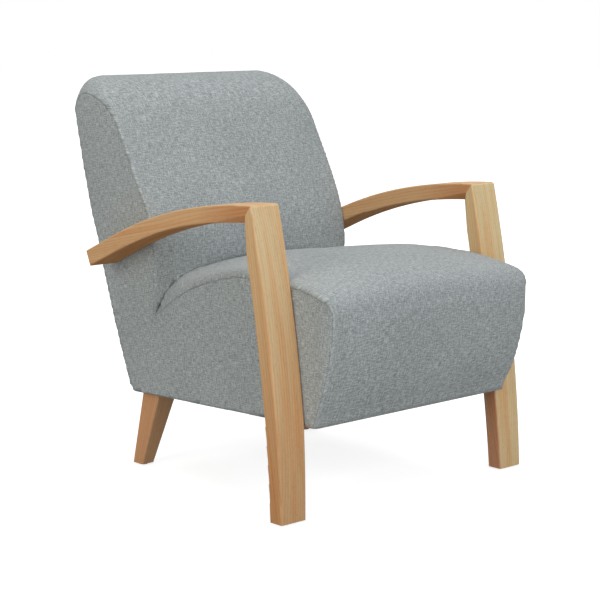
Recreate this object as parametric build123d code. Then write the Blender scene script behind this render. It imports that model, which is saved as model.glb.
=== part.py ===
from build123d import *
import os
from math import asin, cos, hypot, radians, sin, sqrt

# An upholstered armchair: two mitred timber side frames and two rear legs bolted to a padded body.
# Sizes are in millimetres. Places in the side view are measured back (y) from the front of the feet and
# up (z) from the floor; every solid is moved at the end so that the origin lies on the floor under the
# middle of the chair. Left is -X and right is +X, as seen from the front; the front faces -Y.

# Upholstered body, over its covers
BODY_WIDTH = 542.0
UNDERSIDE_FRONT = 182.0
UNDERSIDE_REAR = 166.0
BASE_REAR_Y = 554.0
COVER = 2.0
SOFT_GAP = 0.3

# Seat: the flat of its section, then how its edges roll away
SEAT_OVERHANG = 70.0
FRONT_TUCK = 60.0
NOSE_HEIGHT = 400.0
NOSE_DEPTH = 35.0
NOSE_RISE = 46.0
SEAT_HEIGHT = 467.0
SEAT_PEAK_Y = 120.0
SEAT_FALL_Y = 300.0
SEAT_FALL = 13.0
SEAT_TURN_Y = 405.0
SEAT_TURN_FALL = 26.0
SEAT_REAR_FALL = 41.0
SEAT_CROWN = 3.0
SEAT_EDGE_ROLL = 22.0
NOSE_EDGE_ROLL = 9.0
CORNER_DROP = 94.0
CORNER_REACH = 110.0
CORNER_TURN_SHARE = 0.33
CORNER_FALL_SHARE = 0.05

# Crease where seat and back meet at the side
CREASE_Y = 490.0
CREASE_HEIGHT = 328.0

# Back: the flat of its section, then how its edges roll away
LUMBAR_Y = 464.0
LUMBAR_HEIGHT = 455.0
RISE_Y = 492.0
RISE_HEIGHT = 567.0
HEAD_Y = 585.0
HEAD_DROP = 84.0
CREST_Y = 700.0
BACK_HEIGHT = 824.0
SHOULDER_Y = 744.0
SHOULDER_DROP = 52.0
REAR_BULGE_Y = 671.0
REAR_BULGE_HEIGHT = 490.0
BACK_CROWN = 6.0
BACK_EDGE_ROLL = 14.0
REAR_EDGE_ROLL = 8.0
TOP_CORNER = 50.0
HEEL = 14.0
REAR_PANEL_WRAP = 16.0

# Where the sections of the padding are drawn: shares of the widest roll, in from the side
STATIONS = (0.08, 0.2, 0.38, 0.62, 1.0)

# Side frames of timber
ARM_HEIGHT = 602.0
ARM_CREST_Y = 60.0
ARM_RADIUS = 1140.0
ARM_SLOPE = 23.5
ARM_END_Y = 610.0
ARM_THICKNESS = 34.0
ARM_WIDTH = 72.0
FRAME_ROUND = 4.0
NOSE_ROUND = 6.0
ARM_GAP = 0.3
LEG_TOP_Y = 86.0
LEG_BOW = 14.5
LEG_DEPTH = 35.0
LEG_TAPER = 9.0
LEG_TAPER_TOP = 190.0
RELIEF_FACE = 20.0
RELIEF_DEPTH = 10.0
RELIEF_ALONG_ARM = 100.0
RELIEF_ALONG_LEG = 85.0

# Rear legs
REAR_LEG_INSET = 19.0
REAR_LEG_TOP_Y = 510.5
REAR_LEG_TOP_DEPTH = 55.0
REAR_LEG_TOP_WIDTH = 49.0
REAR_LEG_FOOT_Y = 561.0
REAR_LEG_FOOT_DEPTH = 32.0
REAR_LEG_FOOT_WIDTH = 31.6
REAR_LEG_ROUND = 3.0

# Glides under the feet
GLIDE_HEIGHT = 3.0
GLIDE_DIAMETER = 22.0
GLIDE_PIN = 2.5
GLIDE_PIN_LENGTH = 16.0

# Timber frame inside the body
SIDE_PAD = 8.0
GABLE = 18.0
RAIL = 22.0
FRONT_FOAM = 68.0
REAR_WADDING = 2.0
DECK_FRONT = 345.0
DECK_REAR = 312.0
POST_FOOT_GAP = 8.0
POST_FOOT_HEIGHT = 400.0
POST_HEAD_Y = 650.0
POST_HEAD_DROP = 87.0
SEAT_REAR_RAIL_HEIGHT = 70.0
SEAT_REAR_RAIL_GAP = 16.0
BASE_RAIL_HEIGHT = 88.0
BASE_RAIL_INSET = 14.0
LUMBAR_RAIL_HEIGHT = 50.0
TOP_RAIL_HEIGHT = 70.0
BACK_RAIL_END = 6.0
LEG_BLOCK = 60.0
LEG_BLOCK_HEIGHT = 40.0
CORNER_BLOCK = 45.0
CORNER_BLOCK_HEIGHT = 45.0

# Sheet goods
FELT = 4.0
WEB = 2.0
SEAT_STRAP = 60.0
SEAT_STRAPS = 5
CROSS_STRAPS = 4
BACK_STRAP = 50.0
BACK_STRAPS = 4
DUST_COVER = 1.0

# Fasteners
BOLT = 8.0
BOLT_HEAD = 13.0
BOLT_HEAD_HEIGHT = 5.5
BOLT_HOLE = 8.6
WASHER = 18.0
WASHER_THICKNESS = 1.6
INSERT = 11.0
INSERT_BORE = 8.2
INSERT_LENGTH = 20.0
LEG_BOLT_LOW = 225.0
LEG_BOLT_HIGH = 300.0
ARM_BOLT_SETBACK = 13.0
ARM_BOLT_PITCH = 32.0
DOWEL = 6.0
DOWEL_LENGTH = 24.0
DOWELS = 3
DOWEL_FIT = 0.1
STUD = 8.0
STUD_IN_LEG = 40.0
TEE_NUT = 22.0
TEE_NUT_PLATE = 2.0
TEE_NUT_BARREL = 12.0
TEE_NUT_BARREL_LENGTH = 10.0
SCREW = 5.0
SCREW_LENGTH = 60.0
SCREW_HEAD = 10.0
SCREW_HEAD_DEPTH = 4.0
SCREW_FIT = 0.2
SCREW_PITCH = 36.0

HALF = BODY_WIDTH / 2
NOSE_Y = -SEAT_OVERHANG
HEAD_HEIGHT = BACK_HEIGHT - HEAD_DROP
SHOULDER_HEIGHT = BACK_HEIGHT - SHOULDER_DROP
POST_HEAD_HEIGHT = BACK_HEIGHT - POST_HEAD_DROP
HEM_Y = BASE_REAR_Y - REAR_PANEL_WRAP
SIDE_INSIDE = HALF - COVER
FOAM_END = SIDE_INSIDE - SOFT_GAP
GABLE_OUTSIDE = SIDE_INSIDE - SIDE_PAD
GABLE_INSIDE = GABLE_OUTSIDE - GABLE
FRAME_INSIDE = HALF + ARM_GAP
FRAME_OUTSIDE = FRAME_INSIDE + ARM_WIDTH
FRAME_MIDDLE = (FRAME_INSIDE + FRAME_OUTSIDE) / 2
FRAME_FRONT = NOSE_Y + FRONT_FOAM
REAR_INSET = COVER + REAR_WADDING
POST_FOOT_Y = CREASE_Y + POST_FOOT_GAP
FAR = 2 * BACK_HEIGHT


def underside(y):
    """Height of the body's underside, a straight line from front to rear."""
    front = NOSE_Y + FRONT_TUCK
    return UNDERSIDE_FRONT + (UNDERSIDE_REAR - UNDERSIDE_FRONT) * (y - front) / (BASE_REAR_Y - front)


def deck(y):
    """Height of the seat deck, where the foam lies on the felt."""
    return DECK_FRONT + (DECK_REAR - DECK_FRONT) * (y - FRAME_FRONT) / (CREASE_Y - FRAME_FRONT)


def roll(share):
    """Quarter round: 1 at the edge, 0 from where the roll ends."""
    return 1 - sqrt(1 - (1 - min(share, 1.0)) ** 2)


def circle_through(start, end, bow):
    """Centre and radius of the circle through two points, bowed forward by a given height."""
    chord = hypot(end[0] - start[0], end[1] - start[1])
    radius = (chord ** 2 / 4 + bow ** 2) / (2 * bow)
    away = ((end[1] - start[1]) / chord, -(end[0] - start[0]) / chord)
    reach = radius - bow
    middle = ((start[0] + end[0]) / 2, (start[1] + end[1]) / 2)
    return (middle[0] + away[0] * reach, middle[1] + away[1] * reach), radius


def circles_meet(centre_a, radius_a, centre_b, radius_b):
    """The meeting point of two circles that lies higher up."""
    gap = hypot(centre_b[0] - centre_a[0], centre_b[1] - centre_a[1])
    along = (gap ** 2 + radius_a ** 2 - radius_b ** 2) / (2 * gap)
    aside = sqrt(radius_a ** 2 - along ** 2)
    unit = ((centre_b[0] - centre_a[0]) / gap, (centre_b[1] - centre_a[1]) / gap)
    points = [
        (
            centre_a[0] + unit[0] * along - unit[1] * aside * side,
            centre_a[1] + unit[1] * along + unit[0] * aside * side,
        )
        for side in (-1, 1)
    ]
    return max(points, key=lambda point: point[1])


def at(x, point):
    """A side-view point (y, z) at a given x."""
    return Vector(x, point[0], point[1])


def slab(edges, x_from, x_to):
    """A side-view outline drawn at x_from, carried across to x_to."""
    return extrude(make_face(edges), amount=abs(x_to - x_from), dir=(1 if x_to > x_from else -1, 0, 0))


def board(points, x_from, x_to):
    """A straight-sided side-view outline carried across from x_from to x_to."""
    return slab(Polyline(*[at(x_from, point) for point in points], close=True), x_from, x_to)


def rod(start, end, diameter):
    """A round bar between two points in space."""
    axis = Vector(end) - Vector(start)
    return extrude(Plane(start, z_dir=axis) * Circle(diameter / 2), amount=axis.length)


def across(point, x_from, x_to, diameter):
    """A round bar along X at a side-view point."""
    return rod(at(x_from, point), at(x_to, point), diameter)


def both_sides(solids):
    """The given solids, and their mirror images across the middle of the chair."""
    return list(solids) + [mirror(solid, about=Plane.YZ) for solid in solids]


def cut(body, tools):
    """A solid with each tool taken out of it."""
    for tool in tools:
        body = body - tool
    return body


# Padding
def from_side(x):
    """How far a section lies in from the side; past the seam it stays as it is there."""
    edge = HALF - abs(x)
    return edge if edge > COVER + 2 * SOFT_GAP else COVER


def seat_section(x, skin=0.0, rear=0.0):
    """Outline of the seat at a given x, drawn skin below its surface and carried on behind the crease."""
    edge = from_side(x)
    top = SEAT_CROWN * (1 - (x / HALF) ** 2) - SEAT_EDGE_ROLL * roll(edge / SEAT_EDGE_ROLL) - skin
    nose = NOSE_Y + NOSE_EDGE_ROLL * roll(edge / NOSE_EDGE_ROLL) + skin
    sag = CORNER_DROP * roll(edge / CORNER_REACH)
    rear_y = CREASE_Y - SOFT_GAP + rear
    bottom_rear = at(x, (rear_y, underside(rear_y)))
    bottom_front = at(x, (nose + FRONT_TUCK, underside(nose + FRONT_TUCK)))
    nose_front = at(x, (nose, NOSE_HEIGHT))
    nose_top = at(x, (nose + NOSE_DEPTH, NOSE_HEIGHT + NOSE_RISE + top))
    peak = at(x, (SEAT_PEAK_Y, SEAT_HEIGHT + top))
    fall = at(x, (SEAT_FALL_Y, SEAT_HEIGHT - SEAT_FALL + top - CORNER_FALL_SHARE * sag))
    turn = at(x, (SEAT_TURN_Y, SEAT_HEIGHT - SEAT_TURN_FALL + top - CORNER_TURN_SHARE * sag))
    top_rear = at(x, (rear_y, SEAT_HEIGHT - SEAT_REAR_FALL + top - sag))
    return Wire([
        Line(bottom_rear, bottom_front),
        TangentArc(nose_front, bottom_front, tangent=(0, 0, -1)),
        TangentArc(nose_front, nose_top, tangent=(0, 0, 1)),
        ThreePointArc(nose_top, peak, fall),
        ThreePointArc(fall, turn, top_rear),
        Line(top_rear, bottom_rear),
    ])


def back_section(x, skin=0.0):
    """Outline of the back at a given x, drawn skin below its surface."""
    edge = from_side(x)
    front = BACK_EDGE_ROLL * roll(edge / BACK_EDGE_ROLL) - BACK_CROWN * (1 - (x / HALF) ** 2) + skin
    rear = REAR_EDGE_ROLL * roll(edge / REAR_EDGE_ROLL) + skin
    drop = TOP_CORNER * roll(edge / TOP_CORNER) + skin
    front_slope = (HEAD_Y - RISE_Y) / (HEAD_HEIGHT - RISE_HEIGHT)
    rear_slope = (SHOULDER_Y - REAR_BULGE_Y) / (SHOULDER_HEIGHT - REAR_BULGE_HEIGHT)
    crest_slope = (front_slope + rear_slope) / 2
    foot_front = at(x, (CREASE_Y + skin, underside(CREASE_Y) + skin))
    crease = at(x, (CREASE_Y + skin, CREASE_HEIGHT))
    lumbar = at(x, (LUMBAR_Y + front, LUMBAR_HEIGHT))
    rise = at(x, (RISE_Y + front, RISE_HEIGHT))
    head = at(x, (HEAD_Y + front - front_slope * drop, HEAD_HEIGHT - drop))
    crest = at(x, (CREST_Y - crest_slope * drop, BACK_HEIGHT - drop))
    shoulder = at(x, (SHOULDER_Y - rear - rear_slope * drop, SHOULDER_HEIGHT - drop))
    bulge = at(x, (REAR_BULGE_Y - rear, REAR_BULGE_HEIGHT))
    foot_rear = at(x, (BASE_REAR_Y - rear, UNDERSIDE_REAR + skin))
    over_the_top = TangentArc(head, crest, tangent=head - rise)
    rear_arc = ThreePointArc(shoulder, bulge, foot_rear)
    heel = 1 - HEEL / rear_arc.length
    sole = foot_rear + (foot_front - foot_rear).normalized() * HEEL
    return Wire([
        Line(foot_front, crease),
        TangentArc(lumbar, crease, tangent=(0, 0, -1)),
        TangentArc(lumbar, rise, tangent=(0, 0, 1)),
        Line(rise, head),
        over_the_top,
        TangentArc(crest, shoulder, tangent=over_the_top % 1),
        rear_arc.trim(0, heel),
        TangentArc(rear_arc @ heel, sole, tangent=rear_arc % heel),
        Line(sole, foot_front),
    ])


def stations(end, widest):
    """Where sections are drawn from side to side: close together where the edges roll away."""
    rolling = [HALF - widest * share for share in reversed(STATIONS)]
    right = [rolling[0] / 2] + rolling + sorted({min(end, SIDE_INSIDE), end})
    return [-x for x in reversed(right)] + [0.0] + right


def seat_form(end, skin=0.0):
    """The seat's padded form between two ends."""
    return Solid.make_loft([seat_section(x, skin) for x in stations(end, CORNER_REACH)], ruled=True)


def back_form(end, skin=0.0):
    """The back's padded form between two ends."""
    return Solid.make_loft([back_section(x, skin) for x in stations(end, TOP_CORNER)], ruled=True)


# Side view of the timber side frames
ARM_CENTRE = (ARM_CREST_Y, ARM_HEIGHT - ARM_RADIUS)
ARM_UNDER_RADIUS = ARM_RADIUS - ARM_THICKNESS
FOOT = (0.0, GLIDE_HEIGHT)


def on_circle(centre, radius, turn):
    """The point of a circle at a turn from straight up, in radians towards the rear."""
    return centre[0] + radius * sin(turn), centre[1] + radius * cos(turn)


def turn_of(centre, radius, point):
    """The turn from straight up at which a point in the upper half of a circle lies."""
    return asin((point[0] - centre[0]) / radius)


def moved(point, direction, distance):
    """A side-view point moved along a direction."""
    return point[0] + direction[0] * distance, point[1] + direction[1] * distance


def dot(first, second):
    """How far one side-view direction reaches along another."""
    return first[0] * second[0] + first[1] * second[1]


ARM_TURN = radians(ARM_SLOPE)
ARM_ALONG = (cos(ARM_TURN), -sin(ARM_TURN))
CORNER = on_circle(ARM_CENTRE, ARM_RADIUS, asin((LEG_TOP_Y - ARM_CREST_Y) / ARM_RADIUS))
LEG_CENTRE, LEG_RADIUS = circle_through(FOOT, CORNER, LEG_BOW)
LEG_REAR_RADIUS = LEG_RADIUS - LEG_DEPTH
ARMPIT = circles_meet(ARM_CENTRE, ARM_UNDER_RADIUS, LEG_CENTRE, LEG_REAR_RADIUS)


def leg_line(depth, height):
    """The leg's curve at a depth behind its front, at a given height."""
    reach = LEG_RADIUS - depth
    return LEG_CENTRE[0] - sqrt(reach ** 2 - (height - LEG_CENTRE[1]) ** 2), height


def arm_line(radius):
    """Where an arm curve of this radius turns straight, and where it ends."""
    turn_point = on_circle(ARM_CENTRE, radius, ARM_TURN)
    length = (ARM_END_Y - on_circle(ARM_CENTRE, ARM_RADIUS, ARM_TURN)[0]) / cos(ARM_TURN)
    return turn_point, moved(turn_point, ARM_ALONG, length)


def arm_arc(x, radius, start):
    """An arm curve from a start point to where it turns straight."""
    first = turn_of(ARM_CENTRE, radius, start)
    points = [on_circle(ARM_CENTRE, radius, first + (ARM_TURN - first) * share) for share in (0, 0.5, 1)]
    return ThreePointArc(*[at(x, point) for point in points])


def leg_arc(x, depth, top):
    """A leg curve from the foot up to its top point."""
    heights = (FOOT[1], (FOOT[1] + top[1]) / 2)
    return ThreePointArc(*[at(x, leg_line(depth, height)) for height in heights], at(x, top))


def relief(x_side, inwards):
    """Two tapering cuts that ease the inside corner of a side frame on one of its faces."""
    towards_corner = (CORNER[0] - ARMPIT[0], CORNER[1] - ARMPIT[1])
    reach = hypot(*towards_corner)
    on_face = at(x_side, moved(ARMPIT, towards_corner, RELIEF_FACE / reach))
    on_inside = at(x_side + inwards * RELIEF_DEPTH, ARMPIT)
    tip = at(x_side, ARMPIT)
    start = turn_of(ARM_CENTRE, ARM_UNDER_RADIUS, ARMPIT)
    along_arm = on_circle(ARM_CENTRE, ARM_UNDER_RADIUS, start + RELIEF_ALONG_ARM / ARM_UNDER_RADIUS)
    along_leg = leg_line(LEG_DEPTH, ARMPIT[1] - RELIEF_ALONG_LEG)
    cuts = []
    for end in (at(x_side, along_arm), at(x_side, along_leg)):
        corners = (tip, end, on_face, on_inside)
        sides = [[corners[i] for i in range(4) if i != skipped] for skipped in range(4)]
        cuts.append(Solid(Shell([Face(Wire.make_polygon(side)) for side in sides])))
    return cuts


MITRE_MIDDLE = ((ARMPIT[0] + CORNER[0]) / 2, (ARMPIT[1] + CORNER[1]) / 2)
MITRE_LENGTH = hypot(CORNER[0] - ARMPIT[0], CORNER[1] - ARMPIT[1])
MITRE_NORMAL = ((CORNER[1] - ARMPIT[1]) / MITRE_LENGTH, (ARMPIT[0] - CORNER[0]) / MITRE_LENGTH)
MITRE = Plane(at(0, MITRE_MIDDLE), x_dir=(1, 0, 0), z_dir=(0, *MITRE_NORMAL))


def frame_blank():
    """The outline of the right side frame in one piece: a bowed leg that turns into a drooping arm."""
    x = FRAME_INSIDE
    top_turn, top_end = arm_line(ARM_RADIUS)
    under_turn, under_end = arm_line(ARM_UNDER_RADIUS)
    outline = make_face([
        leg_arc(x, 0.0, CORNER),
        arm_arc(x, ARM_RADIUS, CORNER),
        Line(at(x, top_turn), at(x, top_end)),
        Line(at(x, top_end), at(x, under_end)),
        Line(at(x, under_end), at(x, under_turn)),
        arm_arc(x, ARM_UNDER_RADIUS, ARMPIT),
        leg_arc(x, LEG_DEPTH, ARMPIT),
        Line(at(x, leg_line(LEG_DEPTH, FOOT[1])), at(x, FOOT)),
    ])
    frame = extrude(outline, amount=ARM_WIDTH, dir=(1, 0, 0))
    nose = frame.edges().filter_by(Axis.X).sort_by_distance(at(FRAME_MIDDLE, CORNER))[0]
    return fillet(nose, NOSE_ROUND)


def rounded(timber):
    """A timber with its long edges rounded up to the mitre."""
    rims = []
    for edge in timber.edges():
        size = edge.bounding_box().size
        off_mitre = abs((edge @ 0.5 - MITRE.origin).dot(MITRE.z_dir)) > DOWEL_FIT
        if off_mitre and size.X < ARM_WIDTH / 2 and size.Z > DOWEL_FIT:
            rims.append(edge)
    return fillet(rims, FRAME_ROUND)


def joinery():
    """What is taken out of both timbers of the right side frame: the eased corner and the holes."""
    cuts = relief(FRAME_INSIDE, 1) + relief(FRAME_OUTSIDE, -1) + insert_holes()
    return cuts + mitre_dowels(DOWEL + 2 * DOWEL_FIT, DOWEL_LENGTH + 2 * DOWEL_FIT)


def armrest():
    """The right armrest, arched and drooping to the rear."""
    return cut(rounded(split(frame_blank(), bisect_by=MITRE, keep=Keep.TOP)), joinery())


def front_leg():
    """The right front leg, bowed forward and tapering on its inner face below the body."""
    slope = LEG_TAPER / (LEG_TAPER_TOP - GLIDE_HEIGHT)
    wedge = Polyline(
        (FRAME_INSIDE, LEG_TAPER_TOP),
        (FRAME_INSIDE + slope * LEG_TAPER_TOP, 0),
        (HALF - LEG_TAPER, 0),
        (HALF - LEG_TAPER, LEG_TAPER_TOP),
        close=True,
    )
    taper = extrude(Plane.XZ * make_face(wedge), amount=LEG_TOP_Y + LEG_DEPTH, both=True)
    leg = rounded(split(frame_blank(), bisect_by=MITRE, keep=Keep.BOTTOM) - taper)
    return cut(leg, joinery() + [pin_hole(FRONT_FOOT_PLACE)])


def mitre_dowels(diameter, length):
    """Dowels across the mitre of the right side frame."""
    pitch = ARM_WIDTH / (DOWELS + 1)
    start = moved(MITRE_MIDDLE, MITRE_NORMAL, -length / 2)
    end = moved(MITRE_MIDDLE, MITRE_NORMAL, length / 2)
    places = [FRAME_INSIDE + pitch * (i + 1) for i in range(DOWELS)]
    return [rod(at(x, start), at(x, end), diameter) for x in places]


# Side view of the posts of the back
POST_RISE = (POST_HEAD_Y - POST_FOOT_Y, POST_HEAD_HEIGHT - POST_FOOT_HEIGHT)
POST_LENGTH = hypot(*POST_RISE)
POST_ALONG = (POST_RISE[0] / POST_LENGTH, POST_RISE[1] / POST_LENGTH)
POST_BACK = (POST_ALONG[1], -POST_ALONG[0])
POST_FOOT = (POST_FOOT_Y, POST_FOOT_HEIGHT)
POST_HEAD = (POST_HEAD_Y, POST_HEAD_HEIGHT)

# Places of the bolts that hold a side frame: two in the leg, two in the arm behind the front of the post
ARM_END_MIDDLE = arm_line(ARM_RADIUS - ARM_THICKNESS / 2)[1]
ARM_END_DEPTH = dot(ARM_END_MIDDLE, POST_BACK) - dot(POST_FOOT, POST_BACK)
ARM_BOLT_REACH = (ARM_END_DEPTH - ARM_BOLT_SETBACK) / dot(ARM_ALONG, POST_BACK)
ARM_BOLT_PLACE = moved(ARM_END_MIDDLE, ARM_ALONG, -ARM_BOLT_REACH)
BOLT_PLACES = [leg_line(LEG_DEPTH / 2, LEG_BOLT_LOW), leg_line(LEG_DEPTH / 2, LEG_BOLT_HIGH)]
BOLT_PLACES += [ARM_BOLT_PLACE, moved(ARM_BOLT_PLACE, ARM_ALONG, ARM_BOLT_PITCH)]


def arm_bolt(place):
    """A hexagon bolt from inside the body into a side frame."""
    seat = GABLE_INSIDE - WASHER_THICKNESS
    shank = across(place, seat, FRAME_INSIDE + INSERT_LENGTH - DOWEL_FIT, BOLT)
    hexagon = Plane(at(seat, place), z_dir=(-1, 0, 0)) * RegularPolygon(BOLT_HEAD / 2, 6, major_radius=False)
    return shank + extrude(hexagon, amount=BOLT_HEAD_HEIGHT)


def bolt_washer(place):
    """A washer under the head of a bolt."""
    ring = across(place, GABLE_INSIDE - WASHER_THICKNESS, GABLE_INSIDE, WASHER)
    return ring - across(place, 0, HALF, BOLT_HOLE)


def threaded_insert(place):
    """A threaded insert in the inner face of a side frame."""
    barrel = across(place, FRAME_INSIDE, FRAME_INSIDE + INSERT_LENGTH, INSERT)
    return barrel - across(place, HALF, FRAME_OUTSIDE, INSERT_BORE)


def insert_holes():
    """Blind holes for the inserts."""
    depth = INSERT_LENGTH + DOWEL_FIT
    return [across(place, HALF, FRAME_INSIDE + depth, INSERT + 2 * DOWEL_FIT) for place in BOLT_PLACES]


def bolt_holes():
    """Clearance holes through gable, pad and cover."""
    return [across(place, 0, FRAME_INSIDE, BOLT_HOLE) for place in BOLT_PLACES]


# Feet
FRONT_FOOT_X = (FRAME_INSIDE + LEG_TAPER + FRAME_OUTSIDE) / 2
FRONT_FOOT_PLACE = (FRONT_FOOT_X, LEG_DEPTH / 2)
REAR_LEG_OUTSIDE = HALF - REAR_LEG_INSET
REAR_FOOT_PLACE = (REAR_LEG_OUTSIDE - REAR_LEG_FOOT_WIDTH / 2, REAR_LEG_FOOT_Y)
STUD_PLACE = (REAR_LEG_OUTSIDE - REAR_LEG_TOP_WIDTH / 2, REAR_LEG_TOP_Y)


def upright(place, low, high, diameter):
    """A round bar standing at a plan-view place."""
    return rod((place[0], place[1], low), (place[0], place[1], high), diameter)


def glide(place):
    """A domed glide with its pin, driven into the end of a leg."""
    dome = upright(place, 0, GLIDE_HEIGHT, GLIDE_DIAMETER)
    dome = chamfer(dome.edges().sort_by(Axis.Z)[0], GLIDE_HEIGHT / 2)
    return dome + upright(place, GLIDE_HEIGHT, GLIDE_HEIGHT + GLIDE_PIN_LENGTH, GLIDE_PIN)


def pin_hole(place):
    """The hole of a glide's pin."""
    return upright(place, 0, GLIDE_HEIGHT + GLIDE_PIN_LENGTH + DOWEL_FIT, GLIDE_PIN + 2 * DOWEL_FIT)


def rear_leg():
    """The right rear leg: a square taper that rakes back, cut to the slope of the underside."""
    top = underside(REAR_LEG_TOP_Y)
    over = (top + REAR_LEG_FOOT_DEPTH - GLIDE_HEIGHT) / (top - GLIDE_HEIGHT)
    rings = []
    for share in (0.0, over):
        width = REAR_LEG_FOOT_WIDTH + (REAR_LEG_TOP_WIDTH - REAR_LEG_FOOT_WIDTH) * share
        depth = REAR_LEG_FOOT_DEPTH + (REAR_LEG_TOP_DEPTH - REAR_LEG_FOOT_DEPTH) * share
        middle = REAR_LEG_FOOT_Y + (REAR_LEG_TOP_Y - REAR_LEG_FOOT_Y) * share
        height = GLIDE_HEIGHT + (top - GLIDE_HEIGHT) * share
        rings.append(Pos(REAR_LEG_OUTSIDE - width / 2, middle, height) * Rectangle(width, depth))
    leg = loft(rings, ruled=True)
    leg = fillet([edge for edge in leg.edges() if edge.bounding_box().size.Z > GLIDE_HEIGHT], REAR_LEG_ROUND)
    above = [(0, underside(0)), (FAR, underside(FAR)), (FAR, FAR), (0, FAR)]
    return cut(leg, [board(above, 0, BODY_WIDTH), pin_hole(REAR_FOOT_PLACE), stud_hole(DOWEL_FIT)])


def stud_hole(fit):
    """The space of a rear leg's stud, from inside the leg up through the block."""
    top = underside(REAR_LEG_TOP_Y)
    return upright(STUD_PLACE, top - STUD_IN_LEG - fit, FAR, STUD + 2 * fit)


# Frame
def flat(y, drop):
    """A side-view point a given drop below the seat deck."""
    return y, deck(y) - drop


def base(y):
    """A side-view point on top of the dust cover."""
    return y, underside(y) + DUST_COVER


def rear_line(height, inset):
    """The rear of the back in the side view, at a given height and inset from its flat."""
    arc = ThreePointArc(
        at(0, (SHOULDER_Y, SHOULDER_HEIGHT)),
        at(0, (REAR_BULGE_Y, REAR_BULGE_HEIGHT)),
        at(0, (BASE_REAR_Y, UNDERSIDE_REAR)),
    )
    level = Line(at(0, (0, height)), at(0, (FAR, height)))
    return arc.intersect(level).vertices()[0].Y - inset, height


def gable_outline(x, front, seat_drop, rear_inset, head_drop):
    """Outline of a side gable or its pad: the seat side and the back post in one board."""
    heel = rear_line(UNDERSIDE_REAR + HEEL, rear_inset)
    head = moved(POST_HEAD, POST_ALONG, -head_drop)
    rear_high = rear_line(head[1], rear_inset)
    corners = [heel, base(HEM_Y - rear_inset), base(front), flat(front, seat_drop)]
    corners += [flat(POST_FOOT_Y, seat_drop), POST_FOOT, head, rear_high]
    return make_face([
        Polyline(*[at(x, point) for point in corners]),
        ThreePointArc(at(x, rear_high), at(x, rear_line(REAR_BULGE_HEIGHT, rear_inset)), at(x, heel)),
    ])


def post_board(start, length, thickness, depth=0.0):
    """Corners of a board that lies along the post, from a start distance up it."""
    low = moved(moved(POST_FOOT, POST_ALONG, start), POST_BACK, depth)
    high = moved(low, POST_ALONG, length)
    return [low, high, moved(high, POST_BACK, thickness), moved(low, POST_BACK, thickness)]


BASE_RAIL_Y = BASE_REAR_Y - BASE_RAIL_INSET
BASE_RAIL_LOW = underside(BASE_RAIL_Y) + DUST_COVER + LEG_BLOCK_HEIGHT + TEE_NUT_PLATE
SEAT_RAIL_REAR = CREASE_Y - SEAT_REAR_RAIL_GAP
LUMBAR_RAIL_TOP = POST_FOOT_HEIGHT - BACK_RAIL_END
WEB_DROP = FELT + WEB
GABLE_DROP = WEB_DROP + WEB
RAIL_SECTIONS = {
    "seat_front_rail": [
        base(FRAME_FRONT),
        base(FRAME_FRONT + RAIL),
        flat(FRAME_FRONT + RAIL, WEB_DROP),
        flat(FRAME_FRONT, WEB_DROP),
    ],
    "seat_rear_rail": [
        flat(SEAT_RAIL_REAR - RAIL, WEB_DROP + SEAT_REAR_RAIL_HEIGHT),
        flat(SEAT_RAIL_REAR, WEB_DROP + SEAT_REAR_RAIL_HEIGHT),
        flat(SEAT_RAIL_REAR, WEB_DROP),
        flat(SEAT_RAIL_REAR - RAIL, WEB_DROP),
    ],
    "base_rear_rail": [
        (BASE_RAIL_Y, BASE_RAIL_LOW),
        (BASE_RAIL_Y + RAIL, BASE_RAIL_LOW),
        (BASE_RAIL_Y + RAIL, BASE_RAIL_LOW + BASE_RAIL_HEIGHT),
        (BASE_RAIL_Y, BASE_RAIL_LOW + BASE_RAIL_HEIGHT),
    ],
    "lumbar_rail": [
        (POST_FOOT_Y, LUMBAR_RAIL_TOP - LUMBAR_RAIL_HEIGHT),
        (POST_FOOT_Y + RAIL, LUMBAR_RAIL_TOP - LUMBAR_RAIL_HEIGHT),
        (POST_FOOT_Y + RAIL, LUMBAR_RAIL_TOP),
        (POST_FOOT_Y, LUMBAR_RAIL_TOP),
    ],
    "back_top_rail": post_board(POST_LENGTH - BACK_RAIL_END - TOP_RAIL_HEIGHT, TOP_RAIL_HEIGHT, RAIL),
}


def screw_places(section):
    """Two screws in the end of a rail, along the taller way of its section."""
    middle = (sum(point[0] for point in section) / 4, sum(point[1] for point in section) / 4)
    rise = (section[3][0] - section[0][0], section[3][1] - section[0][1])
    run = (section[1][0] - section[0][0], section[1][1] - section[0][1])
    tall = max(rise, run, key=lambda side: hypot(*side))
    unit = (tall[0] / hypot(*tall), tall[1] / hypot(*tall))
    return [moved(middle, unit, SCREW_PITCH / 2 * way) for way in (-1, 1)]


SCREW_PLACES = [place for section in RAIL_SECTIONS.values() for place in screw_places(section)]


def frame_screw(place, fit=0.0):
    """A countersunk screw through the right gable into the end of a rail."""
    head = Solid.make_cone(
        SCREW_HEAD / 2 + fit,
        SCREW / 2 + fit,
        SCREW_HEAD_DEPTH,
        plane=Plane(at(GABLE_OUTSIDE, place), z_dir=(-1, 0, 0)),
    )
    tip = GABLE_OUTSIDE - SCREW_LENGTH - fit
    return across(place, GABLE_OUTSIDE - SCREW_HEAD_DEPTH, tip, SCREW + 2 * fit) + head


def gable():
    """The right gable of plywood."""
    outline = gable_outline(GABLE_INSIDE, FRAME_FRONT, GABLE_DROP, REAR_INSET, 0.0)
    panel = extrude(outline, amount=GABLE, dir=(1, 0, 0))
    return cut(panel, bolt_holes() + [frame_screw(place, SCREW_FIT) for place in SCREW_PLACES])


def rail(section):
    """A rail between the gables, with its pilot holes."""
    bar = board(section, -GABLE_INSIDE, GABLE_INSIDE)
    return cut(bar, both_sides([frame_screw(place, SCREW_FIT) for place in screw_places(section)]))


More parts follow.
